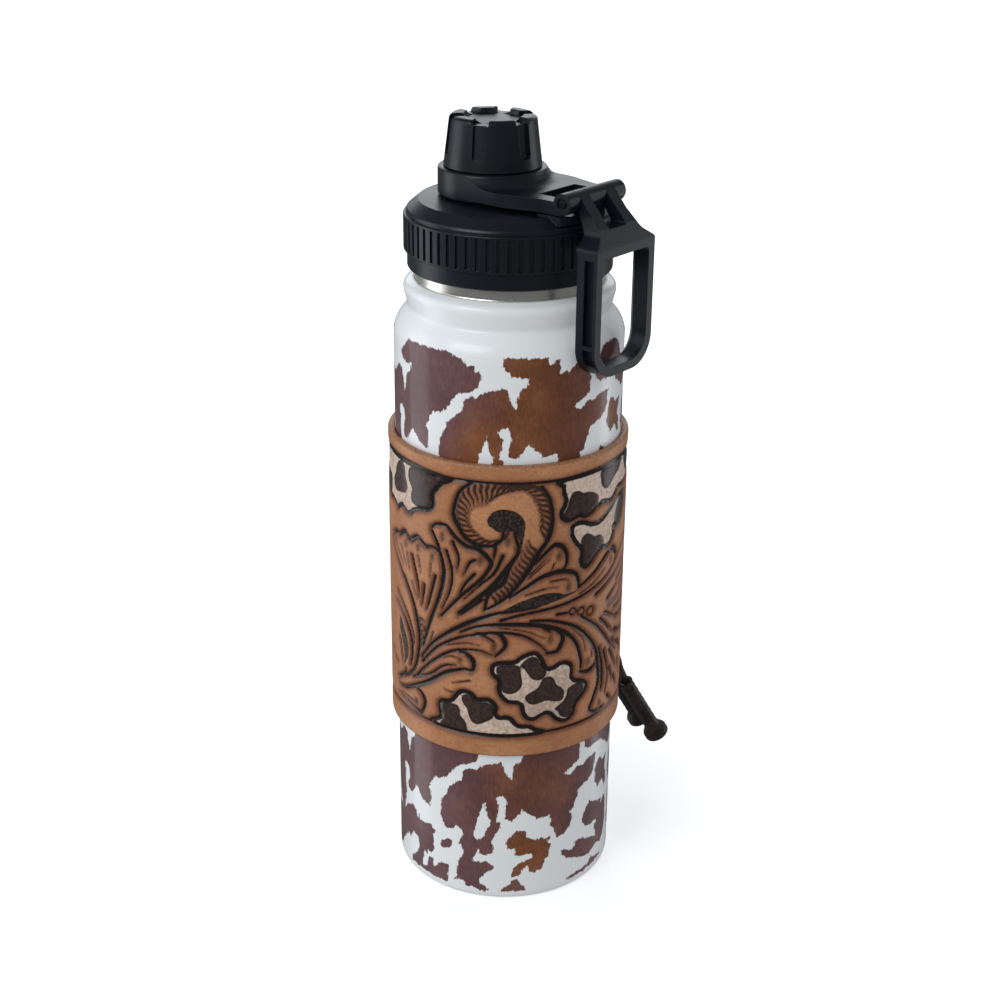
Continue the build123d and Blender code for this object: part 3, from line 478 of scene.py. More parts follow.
# The coat's print: brown patches on white, read as outlines of (distance round, height) in
# millimetres, and spots of a warmer or cooler brown as (distance round, height, reach, strength)
hide = {
    "period": 114.65, "repeatUp": 130.0,
    "patches": [
        (-68.8, 63.7, -51.3, 63.5, -46, 61.5, -45, 60, -42.4, 60.4, -42.1, 58.2, -40.8, 59, -40.3, 56.5,
         -41.6, 53.6, -44.2, 51.8, -47.6, 51.2, -49.8, 48.6, -51.8, 45.5, -54, 44, -57.4, 43, -58.5, 41,
         -60.2, 38, -59, 36.5, -59.3, 30, -60.5, 31, -62.5, 31.3, -64, 32.5, -66.8, 35.5, -69, 32, -70,
         30.9, -72.5, 30.9, -72.7, 34, -71.6, 36.5, -72.3, 40, -74.5, 41, -76, 40.2, -76, 38, -75.2, 37.5,
         -75.3, 31, -74.5, 30, -75, 27, -76.5, 21, -80, 21, -83, 27, -86, 35, -91, 40, -93, 46, -88, 52,
         -81, 50, -76, 54, -73.5, 53, -71.5, 46.5, -69.8, 52.5, -68, 53.6, -67.3, 56.5, -70, 55.6, -72.3,
         56, -74.2, 58.5),
        (-76.5, 21, -74, 24, -71, 25.5, -69, 26.5, -68, 25.3, -67, 25.5, -67, 23.5, -66.3, 23, -65.3, 24.8,
         -65, 22.5, -62, 22.9, -59, 23.6, -58.5, 22, -57, 22, -58.2, 20, -58, 15, -58.3, 13, -59.8, 12,
         -60.8, 12.4, -60.8, 10.5, -58, 10, -58, 6.5, -56, 9, -55, 10.2, -51.6, 10, -52, 6, -52.2, 3.2,
         -70.5, 3.6, -69.5, 6, -67, 8.2, -66, 10, -65.5, 12.5, -66, 15, -69.5, 15.4, -71.3, 12.2, -73, 13.3,
         -75, 11, -78, 8, -80, 5, -84, 3, -90, 10, -88, 20, -80, 21),
        (-36, 53.2, -39, 52.6, -42.2, 50, -43.2, 51, -46, 49.3, -46.6, 45.5, -49.5, 43.3, -51.8, 41, -52.2,
         39, -54.5, 35, -54.8, 29, -53, 25, -50, 25.2, -48.5, 27, -46.5, 26, -46.2, 23.5, -48.5, 20, -47,
         19.8, -46.3, 17, -48, 12, -48.6, 7, -49.5, 5.3, -47.2, 6, -45, 5.2, -45.5, 4, -41.5, 3.8, -39.8,
         2.9, -37, 2.9, -37, 4.2, -40.2, 6.2, -40, 8, -38, 10.3, -35.5, 12.3, -34.6, 13.5, -36, 14, -38, 15,
         -43, 14.2, -42, 16.7, -40.8, 19.3, -40.3, 17.8, -38.5, 17.2, -36, 18.3, -35.2, 20, -36.2, 23,
         -35.5, 25, -33.3, 28.5, -33.3, 30.5, -34.8, 31, -34, 35, -33.6, 37.5, -34.7, 38.2, -34.7, 40.2,
         -32.5, 41.2, -31.6, 40, -31, 37, -32, 34.5, -31.9, 32, -29.8, 31, -28, 32.5, -26.3, 35.5, -23.8,
         33.6, -21.5, 32, -21.3, 31, -16.5, 32, -16.2, 27.5, -14.8, 26.2, -13.7, 22.2, -10.5, 22.5, -8.5,
         24.5, -7.4, 27.5, -8.4, 30.6, -7, 31, -6.6, 33, -5.2, 35.5, -4.8, 37.8, -2, 39.3, 0, 39.5, 2, 41,
         3.5, 43, 4.3, 48.3, 0, 48.4, -3, 46.6, -5.5, 47.6, -8.5, 45.2, -10.8, 46.2, -10, 47.3, -7, 48.4,
         -5, 50, -4.6, 54, -5, 57, -7, 59, -10, 60.5, -12, 58.8, -13.3, 57.2, -14, 58.3, -15.2, 57.3, -16.3,
         57.6, -16.2, 62, -17.5, 62.2, -19, 60.6, -20, 60.8, -20, 63, -34, 63.5, -33.2, 59.2, -31.7, 58.8,
         -31.3, 57.2, -28, 57, -26, 57.1, -26.5, 54.3, -29, 53, -29.8, 47.5, -31, 48.5, -32, 51, -33, 54),
        (-2.5, 57, -2.3, 53.5, -1, 52.8, 0, 51.9, 4, 52.4, 8, 52, 9, 50.5, 13, 48, 15.5, 46, 20, 49, 19, 55,
         12.5, 58, 12, 60.5, 8.8, 63.9, 1, 63.6),
        (6.5, 45, 8.5, 44.2, 10, 42.5, 13.5, 43.8, 13, 41, 12, 38, 13.5, 36, 13.8, 32, 12.5, 31, 11, 33.5,
         9.5, 35, 6.3, 33.3, 5.5, 35.3, 4.1, 36.5, 4.3, 42, 5.3, 43.8),
        (-2.8, 24.5, -2, 26.5, -0.5, 29, 1, 30.7, 4, 29, 7, 28, 9.5, 27.3, 10, 25, 11.5, 27.3, 13.5, 26.5,
         14.5, 22, 14.5, 16, 13, 12, 10, 9.2, 8, 10.3, 6, 10.8, 2, 8.7, -3, 9.8, -5.5, 11.1, -9, 12, -11,
         14, -12, 16.6, -9.8, 16.4, -8.5, 15.3, -6, 14.8, -5.5, 17.8, -2, 17.6, -0.5, 16.3, 3.5, 15, 6,
         14.2, 4.8, 19, 6.5, 19.8, 5.5, 20.9, 1, 20.8, -1, 21.5),
        (-9.6, 4.2, -5, 4.7, 1, 5, 3.5, 7.2, 5, 5.8, 10, 5, 10, 4.2, 0, 3.5, -9.5, 3.1),
        (-24.6, 27.5, -27, 27.5, -28.5, 26.4, -30, 25, -31.6, 23, -31, 20.2, -28.5, 20.3, -28.3, 17.2, -25,
         17.5, -23, 17.7, -22, 16.6, -24, 15.2, -27, 14.5, -29, 12.5, -29.7, 10, -29.3, 9.2, -27, 9.2,
         -24.3, 13.3, -23, 10.5, -22, 10, -18.8, 11.2, -18, 14, -16.5, 16, -15.6, 20.3, -16.8, 20.5, -17,
         21.5, -15.8, 22.7, -16.2, 23.8, -17.5, 22.8, -19, 23.5, -21.5, 22.8, -24.5, 24.5),
        (-27.8, 8.3, -29.5, 7, -30.5, 5.5, -34, 3.1, -24.3, 3.1, -25.2, 5, -26.3, 6),
        (-55.3, 17, -54.3, 19.5, -52, 20.7, -50.3, 20.3, -50.3, 18.8, -51.5, 17.3, -53.5, 16.3),
        (17.5, 40, 19.5, 43, 22, 41, 23, 36, 21.5, 31, 18, 30, 16.5, 34),
        (18, 24, 21, 26, 23.5, 22, 23, 15, 20.5, 10, 17.5, 13, 18.5, 18),
        (20, 63.6, 29, 63.6, 31, 60, 27, 58.5, 23, 60),
    ],
    "holes": [
        (-62.5, 11.5, -63.5, 8, -63.8, 5.5, -62, 5.4, -61, 7, -60.8, 10),
        (-38.5, 38.3, -39.3, 36, -41, 32, -41.2, 29.5, -42, 27, -42.2, 24, -41, 22.8, -38.5, 25.2, -38,
         27.5, -36.7, 30, -36.5, 31.5, -37.7, 33, -38.1, 35),
    ],
    "warmSpots": [
        (-24, 18, 8, 1.2), (-26, 45, 24, 0.72), (-20, 164, 30, 1.0), (-24, 188, 12, 0.8),
        (-40, 160, 13, 0.6), (-66, 180, 22, -0.6), (-66, 50, 20, -0.5), (-66, 12, 18, -0.45),
        (8, 40, 16, -0.25), (10, 168, 7, 0.9),
    ],
}


def coatPiece():
    # The shell's outline moved out along its normals, and back a little inside it, carried round the axis
    path = roundedPath(coatSizes["outline"], 8)
    heights = np.concatenate([np.arange(*row) for row in coatSizes["rows"]])
    wall = np.stack([np.full(len(heights), coatSizes["radius"]), heights + coatSizes["foot"]], -1)
    foot = path[path[:, 1] < coatSizes["footTop"]]
    top = spread(path[path[:, 1] > coatSizes["shoulderLow"]], coatSizes["shoulderStep"])
    gap = coatSizes["rowGap"]
    wall = wall[(wall[:, 1] > foot[-1, 1] + gap) & (wall[:, 1] < top[0, 1] - gap)]
    outer = np.vstack([foot, wall, top])
    run = np.gradient(outer, axis=0)
    normal = np.stack([run[:, 1], -run[:, 0]], -1) / np.linalg.norm(run, axis=1)[:, None]
    back = (outer - normal * coatSizes["inward"])[::-1][::8]
    loop = np.vstack([outer + normal * coatSizes["outward"], back])
    angles = np.linspace(-np.pi, np.pi, coatSizes["turns"], endpoint=False)
    piece = gridPiece("printedCoat", turnedGrid(loop, angles), True, True)
    s = np.broadcast_to((angles * coatSizes["radius"])[:, None], (len(angles), len(loop)))
    z = np.broadcast_to(loop[None, :, 1], s.shape)
    sheet = Canvas(s, z, hide["period"], 4.0)
    brown, bare, warm = sheet.blank(), sheet.blank(), np.zeros(s.size)
    for rise in (0, hide["repeatUp"]):
        for kind, field in (("patches", brown), ("holes", bare)):
            for patch in hide[kind]:
                sheet.region(field, pairs(patch) + (0, rise))
    around, up = sheet.spots.T
    for place, height, reach, strength in hide["warmSpots"]:
        away = (around - place + hide["period"] / 2) % hide["period"] - hide["period"] / 2
        warm += strength * np.exp(-(away ** 2 + (up - height) ** 2) / reach ** 2)
    past = np.maximum(up - coatSizes["printHigh"], coatSizes["printLow"] - up)
    addField(piece, "brown", np.maximum(np.maximum(brown, -bare), past))
    addField(piece, "warm", warm)
    return piece


def whiteCoat(paint, spot):
    # The plain powder coat's clouded white, the height of its fine peel, and the cloud itself
    cloud = paint.noise(spot, 30.0)
    return paint.mix(cloud, *coatColours["white"]), paint.noise(spot, 1500.0, 2.0), cloud


def coatPaint():
    # Satin powder coat with a hair-like print whose edge follows the patch outlines, roughened by noise
    paint = Paint("printedCoat")
    spot = paint.place()
    strands = paint.noise(paint.place((1900, 1900, 420)), 1.0, 4.0, 0.62)
    tufts = paint.noise(spot, 520.0, 3.0, 0.6)
    broad = paint.noise(spot, 46.0, 3.0, 0.55)
    edge = paint.field("brown") + (strands - 0.5) * 2.0 + (tufts - 0.5) * 1.8
    printed = paint.step(edge, -0.16, 0.16, 1.0, 0.0)
    warm = (paint.field("warm") + (broad - 0.5) * 0.7).clamped()
    hair = paint.step(strands * 0.35 + tufts * 0.2 + broad * 0.6, 0.40, 0.85)
    fur = paint.mix(hair, paint.mix(warm, *coatColours["deep"]), paint.mix(warm, *coatColours["light"]))
    white, peel, _ = whiteCoat(paint, spot)
    paint.set(Base_Color=paint.mix(printed, white, fur), Roughness=paint.step(printed, 0, 1, 0.34, 0.42),
              Coat_Weight=0.35, Coat_Roughness=0.12, Specular_IOR_Level=0.4,
              Normal=paint.bump(peel * 0.6 + printed * 0.4, 0.02, 0.35))
    return paint


coat = coatPiece()
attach(coat, "bottle")
finish(coat, coatPaint())
print("printed coat made")

# The tooling, read as lines of (distance round, height) in millimetres; the carving repeats round the
# sleeve. Widths run along a cut from its start over its middle to its end, depths are (depth, softness of
# the edge), and slopes say how far the leather also sinks towards a cut, as (depth, reach)
tooling = {
    "period": 118.35, "borders": (153.7, 65.5), "borderWidth": 0.9,
    "widths": {
        "bold": (0.9, 1.65, 0.9), "medium": (1.1, 0.9, 0.4), "fine": (0.6, 0.55, 0.2),
        "rope": (1.15, 1.0, 0.3), "inlays": (1.55, 1.55, 1.55), "rings": (0.55, 0.55, 0.55),
    },
    "depths": {
        "cut": (0.66, 0.3), "fine": (0.40, 0.28), "cream": (0.34, 0.25), "spot": (0.16, 0.35),
        "pebble": (0.42, 0.3), "stain": (0.4, 0.7), "hole": (1.3, 0.35),
    },
    "slopes": {"cut": (0.30, 0.9), "fine": (0.14, 0.7)},
    "bold": [
        (-45, 153.7, -49.5, 150, -51.6, 144, -51.6, 141, -50.3, 138.5, -46.8, 133.8, -40, 132.2, -36, 134.9,
         -35.4, 137.5),
        (-23.4, 152.4, -20.5, 147.4, -19.6, 140.2, -20.9, 134.5, -24.1, 129.9, -28.2, 122.7, -32.9, 116.6,
         -37.1, 112.7, -41.2, 110.2),
        (-30.2, 130.9, -33.6, 124.9, -35.4, 119.9, -40, 115.6, -41.3, 110.2),
        (-60, 135.6, -58.2, 137, -56.1, 137.5, -53.9, 137, -50.7, 133.8, -46.8, 131.5, -42.5, 130.6, -39.5,
         127.4, -39.5, 125.6, -42.5, 120.9, -48.9, 114.5, -56.5, 105.5),
        (-60, 134.5, -57.5, 129.9, -55.5, 123.1, -55.5, 119.5, -57.1, 112.4, -60.9, 102.5, -64.1, 92.4),
        (-32, 137.2, -30.6, 131, -33.9, 125.6, -38.6, 119.1, -44.6, 113.4, -50, 108.1),
        (-27.3, 124.5, -24, 127.5, -19.5, 131.7, -17.5, 131.8, -15.5, 130.5, -14.3, 127.8, -14.3, 125,
         -15.5, 123),
        (-33.2, 114.9, -28, 118.4, -22.6, 121.6, -16.2, 122.5, -10.9, 120.6, -9.4, 117, -9.6, 115.4),
        (-24.4, 111.3, -35, 109.8, -42.1, 107.3, -50, 103, -59.3, 95.3, -65, 88),
        (-9.6, 115.2, -3, 118.4, 3.4, 122.7, 6.9, 123.8, 9, 122.7, 10.3, 120.9, 9.7, 118.8),
        (-49.3, 101.4, -43.9, 104, -35, 105.5, -24.4, 104.8, -15.5, 101.4, -10.1, 96, -7.6, 88.9, -7.6, 86),
        (-20.9, 94.4, -18.7, 94.2, -16.6, 94.9, -15, 98.9, -17.6, 102.2, -22.6, 104.2),
        (-26.2, 106.5, -19.1, 105.6, -10.1, 101.5, -3.7, 94.9, -0.5, 89.6, 0.6, 83.9, 1.3, 77.8, -1.2, 72.4,
         -3, 68.9, -1.9, 67.4, 0.6, 66.7, 4.1, 66.9),
        (-8.2, 84.6, -5.9, 83.7, -3.4, 83.7, -1.6, 84.6, -0.5, 86.4),
        (1.1, 90.3, 3.1, 83.1, 3.5, 76.7, 2.8, 73.9),
        (-40, 102.3, -37.1, 102.3, -35.4, 101, -34.5, 99.2, -34.8, 97.1, -37.5, 94.2),
        (-49.6, 94.2, -47.5, 94, -45.7, 92.8, -44.8, 91, -44.8, 89.2, -45.5, 87.8),
        (-78.8, 71.9, -74.2, 72.8, -67, 76.7, -61.3, 80.3, -54.6, 85.6, -48.9, 88, -46.1, 88.2),
        (-83.5, 125.4, -79.5, 127.5, -77.7, 127.2, -73.4, 129.7, -70.2, 127.9, -66.3, 130.2, -62.7, 128.2,
         -59.1, 128.7, -57.5, 127.5),
        (-83.8, 124, -83.4, 122.2, -76.6, 115.4, -70.2, 108.3, -67, 100.3, -66.1, 92.5, -68.1, 83.6, -71.3,
         79.3, -75.3, 76.8),
        (-67.4, 75.3, -65.6, 74.6, -64.1, 73.1, -63.6, 71, -65, 67.1),
        (-79.6, 102.4, -74.2, 98.5, -71, 93.9, -69.9, 88.1, -71, 82.4),
    ],
    "medium": [
        (-52, 132.4, -50, 127.4, -50.4, 123.1), (-54.3, 128.8, -52.3, 122, -53.2, 114.9, -56.1, 108.1),
        (-44.6, 127.2, -46.4, 125.9, -48.2, 121.6), (-44.6, 122.4, -47.9, 118.4, -50, 113.8),
        (-37.9, 132, -38.6, 127.4), (-35.5, 129.5, -38.2, 123.4, -42.9, 118.8, -48.2, 113.1),
        (-35.4, 120.2, -40, 116.6, -45.7, 112), (-42.1, 113.8, -47.9, 108.8, -50, 107),
        (-36, 106.9, -28, 109.1, -13.7, 110.9, 0, 113.8, 8.3, 117.4, 18.3, 124.5),
        (-1.8, 110.2, 7.5, 113.3, 16.4, 116.6),
        (-43.9, 101.6, -35, 102.6, -28.5, 101.3, -23.7, 98.1, -21, 95.3), (-17.3, 107.6, -12.6, 107.3),
        (-8, 104.6, 0.3, 97.8, 8.3, 88.9, 13.3, 84.6), (1.1, 100.6, 5.4, 96.7, 9.2, 92.8),
        (3.6, 101.9, 10.1, 98.3), (4, 88.1, 6.9, 78.9, 5.4, 71.7), (8.3, 79.9, 10.8, 74.2),
        (7.9, 86.7, 14, 77.8), (7.2, 69.9, 10.4, 66.9), (5, 106.5, 12, 109.5),
        (6, 103.8, 13, 104.6, 19, 106.5), (10, 101, 16, 101.2, 22, 102.6), (11.5, 97.4, 17, 96.6, 22.5, 97),
        (11, 92.8, 16, 90.6, 22, 89.4), (13.8, 87.4, 18, 84, 21.5, 79), (9.5, 90, 12.4, 86.6),
        (12, 75, 15.5, 70.4), (15.8, 79.6, 19, 73), (12, 111, 18, 113.6, 23, 118),
        (15, 108.4, 20, 110.2, 24, 113.6),
        (-64.5, 86.4, -57.9, 93.9, -50, 99.2, -42.9, 101.2, -38.9, 99.8, -37.9, 98.5),
        (-67, 80.6, -60, 88.1, -51.8, 94.2, -43.6, 95.8, -38.6, 94.4),
        (-69.2, 78.9, -61.3, 82.8, -55.4, 87.8, -51.1, 89.1), (-69.3, 122.8, -66.5, 114.2, -65.8, 109),
        (-63.4, 114.4, -64.5, 107), (-58.6, 119, -61.3, 109.6, -62.4, 106.1),
        (-67, 100.5, -65, 101.5, -63, 101), (-77.8, 89.6, -76.3, 83.9, -76, 81.4),
        (-84.6, 82.4, -82.8, 80.6, -80, 79.9), (-79.6, 74.2, -74.9, 77.8, -73.5, 80.3),
        (-79.2, 106.4, -72.8, 101, -69.2, 95, -68.8, 91.1), (-65, 66.9, -72.7, 68.3, -79.5, 68.5),
        (-22.3, 103.9, -19.1, 101.4),
    ],
    "fine": [
        (-27.5, 121.5, -20.5, 127.5), (-27, 122.8, -20, 129.5), (-28, 115.9, -21.9, 117.4, -17.3, 117.4),
        (-20, 119.7, -15.1, 119.7, -13.4, 118.4), (-9.4, 113, -3, 115.2, 2.4, 118.4),
        (-37.1, 104.6, -28, 103.1, -21.6, 99.9), (-13, 102.6, -7.6, 97.1, -5.9, 91.7),
        (-3, 88.9, -3.4, 93.1), (-55.4, 95.5, -47.5, 97.9, -42.9, 97.8),
        (-57.5, 90, -52.9, 92.1, -48.9, 91.9), (-69.2, 113.5, -66.7, 108.1), (-73.5, 114.2, -68.5, 107),
        (-59.5, 98.9, -61.6, 93.1), (-67.4, 69.6, -73.4, 70.1, -77.7, 69.6), (-18.9, 125.8, -20.3, 121.9),
        (-72, 123, -70.5, 117), (-66, 124, -64.6, 118.5), (-60.2, 123, -60.6, 118),
        (-79, 122.5, -74.5, 117.5), (-76, 124, -72.5, 118), (-58, 131, -57, 126),
        (-31.8, 132.7, -31.4, 130.9), (-46, 84.6, -52, 82.6), (-49, 78.5, -55, 79.5),
    ],
    "rings": [
        (-64.7, 98.3, 1.3), (-65, 95.2, 0.9), (-65, 92.8, 0.7), (-11.6, 107.4, 1.2), (-8.2, 106.5, 1.4),
        (-4.2, 105.4, 1.5),
    ],
    "eyes": [
        (-55.5, 133.5, 1.3), (-42.5, 127.4, 1.3), (-33.9, 134.5, 1.3), (-17.3, 128, 1.2),
        (-13.7, 116.6, 1.2), (6, 120.2, 1.1), (-19.8, 99.2, 1.1), (-4.8, 87.4, 1.1), (1.7, 69.4, 1.2),
        (11.9, 90.6, 1.1), (-38.2, 97, 1.2), (-49.3, 91, 0.9), (-72.8, 125.6, 1.1), (-65.8, 126.7, 1.1),
        (-59.5, 125.3, 1.1), (-80.2, 124.2, 1.0), (-67.4, 70.3, 1.1),
    ],
    "pebbled": [
        (-40.5, 141.3, -40, 142.7, -38.6, 144.3, -36.4, 145.2, -33.9, 145.2, -31.4, 144.3, -29.6, 142.7,
         -28.8, 140.6, -28.8, 138.1, -29.6, 132.7, -30.2, 130.9, -30.5, 132.4, -30.4, 134.9, -32.1, 137.4,
         -33.9, 138.1, -36.8, 137.5, -38.6, 138.8, -40, 139.7),
        (-28, 114.3, -24.4, 115.4, -20.9, 115.8, -17.3, 115.4, -14.8, 114.3, -9.8, 114.7, -14.8, 113.3,
         -19.1, 112.4, -24.4, 111.3, -30, 110.6, -35.4, 110, -33.6, 111.6, -30.7, 113.3),
        (-77.8, 97.8, -76.3, 97.1, -74.9, 95, -73.5, 92.8, -72.2, 90.3, -71.9, 87.8, -72.2, 85.3, -73.5,
         82.8, -74.9, 81, -74.6, 83.9, -74.9, 86.7, -76, 89.6, -77.4, 92.4, -78.1, 95),
    ],
    "inlays": [
        (-58.6, 65.4, -56.6, 68.5, -57.3, 72.8, -56.4, 74.6, -54.3, 75.1, -52.5, 75.9, -51.1, 77.8, -49.6,
         79.6, -47.5, 80.3, -45.4, 79.6, -43.9, 78, -42.1, 78, -40, 78.3, -38.2, 77.1, -37.3, 75.3, -37.7,
         73.5, -36.4, 71.7, -34.3, 71.9, -32.5, 71.4, -31.1, 69.6, -29.3, 68.4, -26.5, 68.2, -24.4, 66.8,
         -23.7, 65.3),
        (-38.6, 89.7, -37.9, 91.1, -35.7, 91.8, -31.4, 92, -29.6, 93.3, -27.9, 94.2, -25.9, 94.9, -24.1,
         94.5, -22.6, 92.5, -21.7, 90.4, -20.5, 88.7, -18.4, 88.6, -15.9, 89.7, -13.7, 89.5, -11.9, 88.2,
         -11.4, 86.1, -11.6, 83.9, -10.1, 82, -7.6, 81.1, -5.5, 79.6, -5.1, 77.9, -6.2, 76.1, -8.7, 74.3,
         -10, 72.5, -10.5, 70, -12.3, 68.4, -14.4, 68.4, -16.9, 69.7, -18.7, 71.8, -20.5, 72.7, -22.6, 72,
         -24.8, 70.9, -26.9, 71.5, -28.3, 73.5, -28.9, 76.4, -30.7, 77.5, -32.9, 77.7, -34.6, 78.8, -35.9,
         80.7, -36.4, 82.9, -36.1, 84.7, -37.1, 86.5, -38.4, 87.9),
        (-15, 153.5, -16, 151.4, -15.7, 148.9, -15, 146.8, -15.5, 144.6, -16.6, 142.9, -16.4, 141.1, -14.4,
         139.6, -11.9, 140, -9.8, 140.5, -7.6, 139.6, -5.1, 140, -3, 141.4, 0, 142.3, 2.6, 141.8, 5.1,
         141.4, 7.6, 142.7, 10.1, 144.3, 15.4, 143.9, 20, 145, 23, 148, 23, 153.5),
        (-12.6, 135.7, -12.3, 137.1, -10.1, 137.8, -7.6, 137.3, -5.1, 136.1, -2.3, 135.5, 0.6, 135.9, 3.1,
         137.1, 5.6, 138.2, 8.3, 139.6, 11.2, 140.7, 14, 140.7, 17.3, 139.5, 16.1, 135.7, 13.3, 132.1, 10.1,
         130.6, 7.9, 131.7, 7.4, 130.6, 7.2, 128.5, 5.5, 126.5, 3.1, 125.9, 0.6, 126.4, -1.9, 125.3, -3.7,
         123.5, -5.9, 121.9, -7.6, 122.1, -8.9, 123.9, -8.7, 126.4, -8.9, 128.9, -10.9, 131.4, -12.3,
         133.9),
        (-92, 153.5, -92, 141, -90, 139, -86, 137.8, -83.9, 138.2, -80.3, 137.1, -78.9, 136.3, -77.1, 137.5,
         -75.3, 138.4, -73.5, 137.7, -71.8, 137.1, -70, 137.5, -68.5, 138.9, -65, 140.3, -62.5, 140.7,
         -60.3, 141.8, -59.2, 143.9, -59.6, 146.1, -58.9, 147.8, -57.5, 149.6, -56.1, 151.4, -55.4, 153.5),
    ],
    "spots": [
        (-56.4, 65.6, -55.4, 69, -56.1, 71.8, -55.7, 74, -51.1, 74.7, -49.8, 73.3, -49.6, 71.1, -47.9, 69.3,
         -47.3, 67.2, -47.9, 65.6),
        (-48.6, 78.3, -48.2, 76.1, -46.8, 74.3, -46.1, 71.8, -45, 69.6, -42.9, 69.3, -40.7, 70.4, -38.6,
         71.8, -38.2, 74, -38.6, 76.1, -40.4, 77.2, -42.5, 77, -44.3, 77.2, -45.7, 78.8, -47.1, 79.3),
        (-37.1, 89.7, -36.3, 90.8, -31.4, 91, -29.8, 90, -29.6, 87.9, -29.1, 84.7, -29.8, 82.5, -31.8, 81.1,
         -33.9, 81.1, -35.4, 82.2, -35.4, 84.7, -36.8, 87.5),
        (-29.3, 90.8, -27.9, 92.5, -26.2, 93.6, -24.4, 93.2, -23, 91.1, -21.2, 88.2, -21.2, 86.8, -22.6,
         85.4, -24.8, 85.6, -26.2, 86.8, -28, 89.7),
        (-27.6, 79.3, -25.9, 80.7, -23.4, 82.2, -21.9, 85, -20.1, 85.7, -18.4, 84.7, -17.3, 82.2, -15.5,
         80.7, -14.4, 79, -15.1, 76.5, -17.3, 76.5, -20.9, 77.4, -24.4, 76.6, -26.6, 77.2),
        (-12.6, 79.7, -9.8, 80.6, -6.9, 80, -6.2, 77.9, -8, 75.8, -10.1, 74, -10.9, 70.8, -13, 69.4, -15.5,
         70.8, -16.2, 72.6, -17.3, 73.5, -14.4, 75.4, -13, 77.6),
        (-13.7, 146.8, -12.6, 148.6, -10.5, 148.6, -8.7, 147.5, -6.6, 147.4, -3.4, 146.1, -1.9, 144.3, -3,
         142.1, -5.9, 140.4, -8, 140, -10.1, 141.1, -12.6, 140, -15.1, 140.7, -15.7, 142.1, -14.4, 144.3),
        (0.1, 153.3, -0.6, 150, 0.4, 147.5, 2.6, 146.4, 4.7, 147.5, 7.2, 149.3, 10.1, 150.4, 11.5, 151.8,
         11.9, 153.5),
        (15.1, 153.2, 16.1, 150, 19, 146.8, 21.5, 149, 22, 153),
        (-8.7, 132.1, -6.9, 133.2, -5.1, 132.5, -3, 131.2, -0.5, 131, 1.1, 129.3, 1.3, 127.5, -0.5, 126.8,
         -2.6, 125.3, -4.8, 122.9, -6.9, 122.7, -8.4, 124.6, -8, 127.5, -8.7, 130),
        (8.3, 134.3, 9.4, 137.1, 10.8, 139.3, 14, 140.4, 16.9, 139.3, 15.4, 135.7, 13.3, 132.9, 11.2, 131.4,
         8.3, 131.4),
        (-70.6, 150.7, -69.9, 152.5, -67.7, 153.4, -56.5, 153.3, -57.5, 150.5, -59.5, 148, -60, 145.5,
         -60.3, 143.5, -62, 141.8, -65, 141, -67.1, 141.1, -68.9, 141.8, -69.2, 143.9, -68.5, 146.1, -70.3,
         148.6),
        (-78.9, 150.4, -77.1, 152.5, -74.9, 153.2, -73.1, 151.8, -72.8, 148.6, -71.7, 146.1, -72.8, 143.6,
         -75.3, 142.9, -78.9, 142.1, -81, 142.9, -81.4, 145.4, -79.6, 147.9),
        (-90.5, 145.5, -85, 145.5, -84.5, 142, -85.5, 138.5, -88, 139.5, -91, 141.5),
    ],
    "rope": {
        "centre": (-35.7, 143.5), "lean": -35, "bend": 0.5,
        "ring": {
            "dashes": 34, "length": 7.2,
            "line": (-36, 134.9, -40, 132.2, -46.8, 133.8, -50.3, 138.5, -51.6, 144, -49.5, 150, -44, 153,
                     -36, 153.4, -29, 153.2, -23.4, 151.8, -20.5, 147.4, -19.6, 140.2, -20.9, 134.5,
                     -22.4, 132),
        },
        "stem": {
            "dashes": 13, "length": 6.4, "towards": (-0.5, 0.87),
            "line": (-24.1, 129.9, -28.2, 122.7, -32.9, 116.6, -38, 112),
        },
    },
}


def ropeDashes():
    # Short bent cuts that lean inwards from the scroll's outer line, then all go one way along its stem
    rope = tooling["rope"]
    lean = math.radians(rope["lean"])
    turned = np.array([(math.cos(lean), -math.sin(lean)), (math.sin(lean), math.cos(lean))])
    dashes = []
    for part in (rope["ring"], rope["stem"]):
        line = smoothLine(pairs(part["line"]))
        along = np.concatenate([[0], np.cumsum(np.linalg.norm(np.diff(line, axis=0), axis=1))])
        for share in (np.arange(part["dashes"]) + 0.5) / part["dashes"]:
            start = np.array([np.interp(share * along[-1], along, line[:, k]) for k in (0, 1)])
            inward = np.array(rope["centre"]) - start
            inward = turned @ (inward / np.linalg.norm(inward))
            inward = np.array(part.get("towards", inward))
            bend = np.array((inward[1], -inward[0])) * rope["bend"]
            run = inward * part["length"]
            dashes.append(np.array([start, start + run * 0.3 + bend,
                                    start + run * 0.62 - bend * 0.5, start + run]))
    return dashes


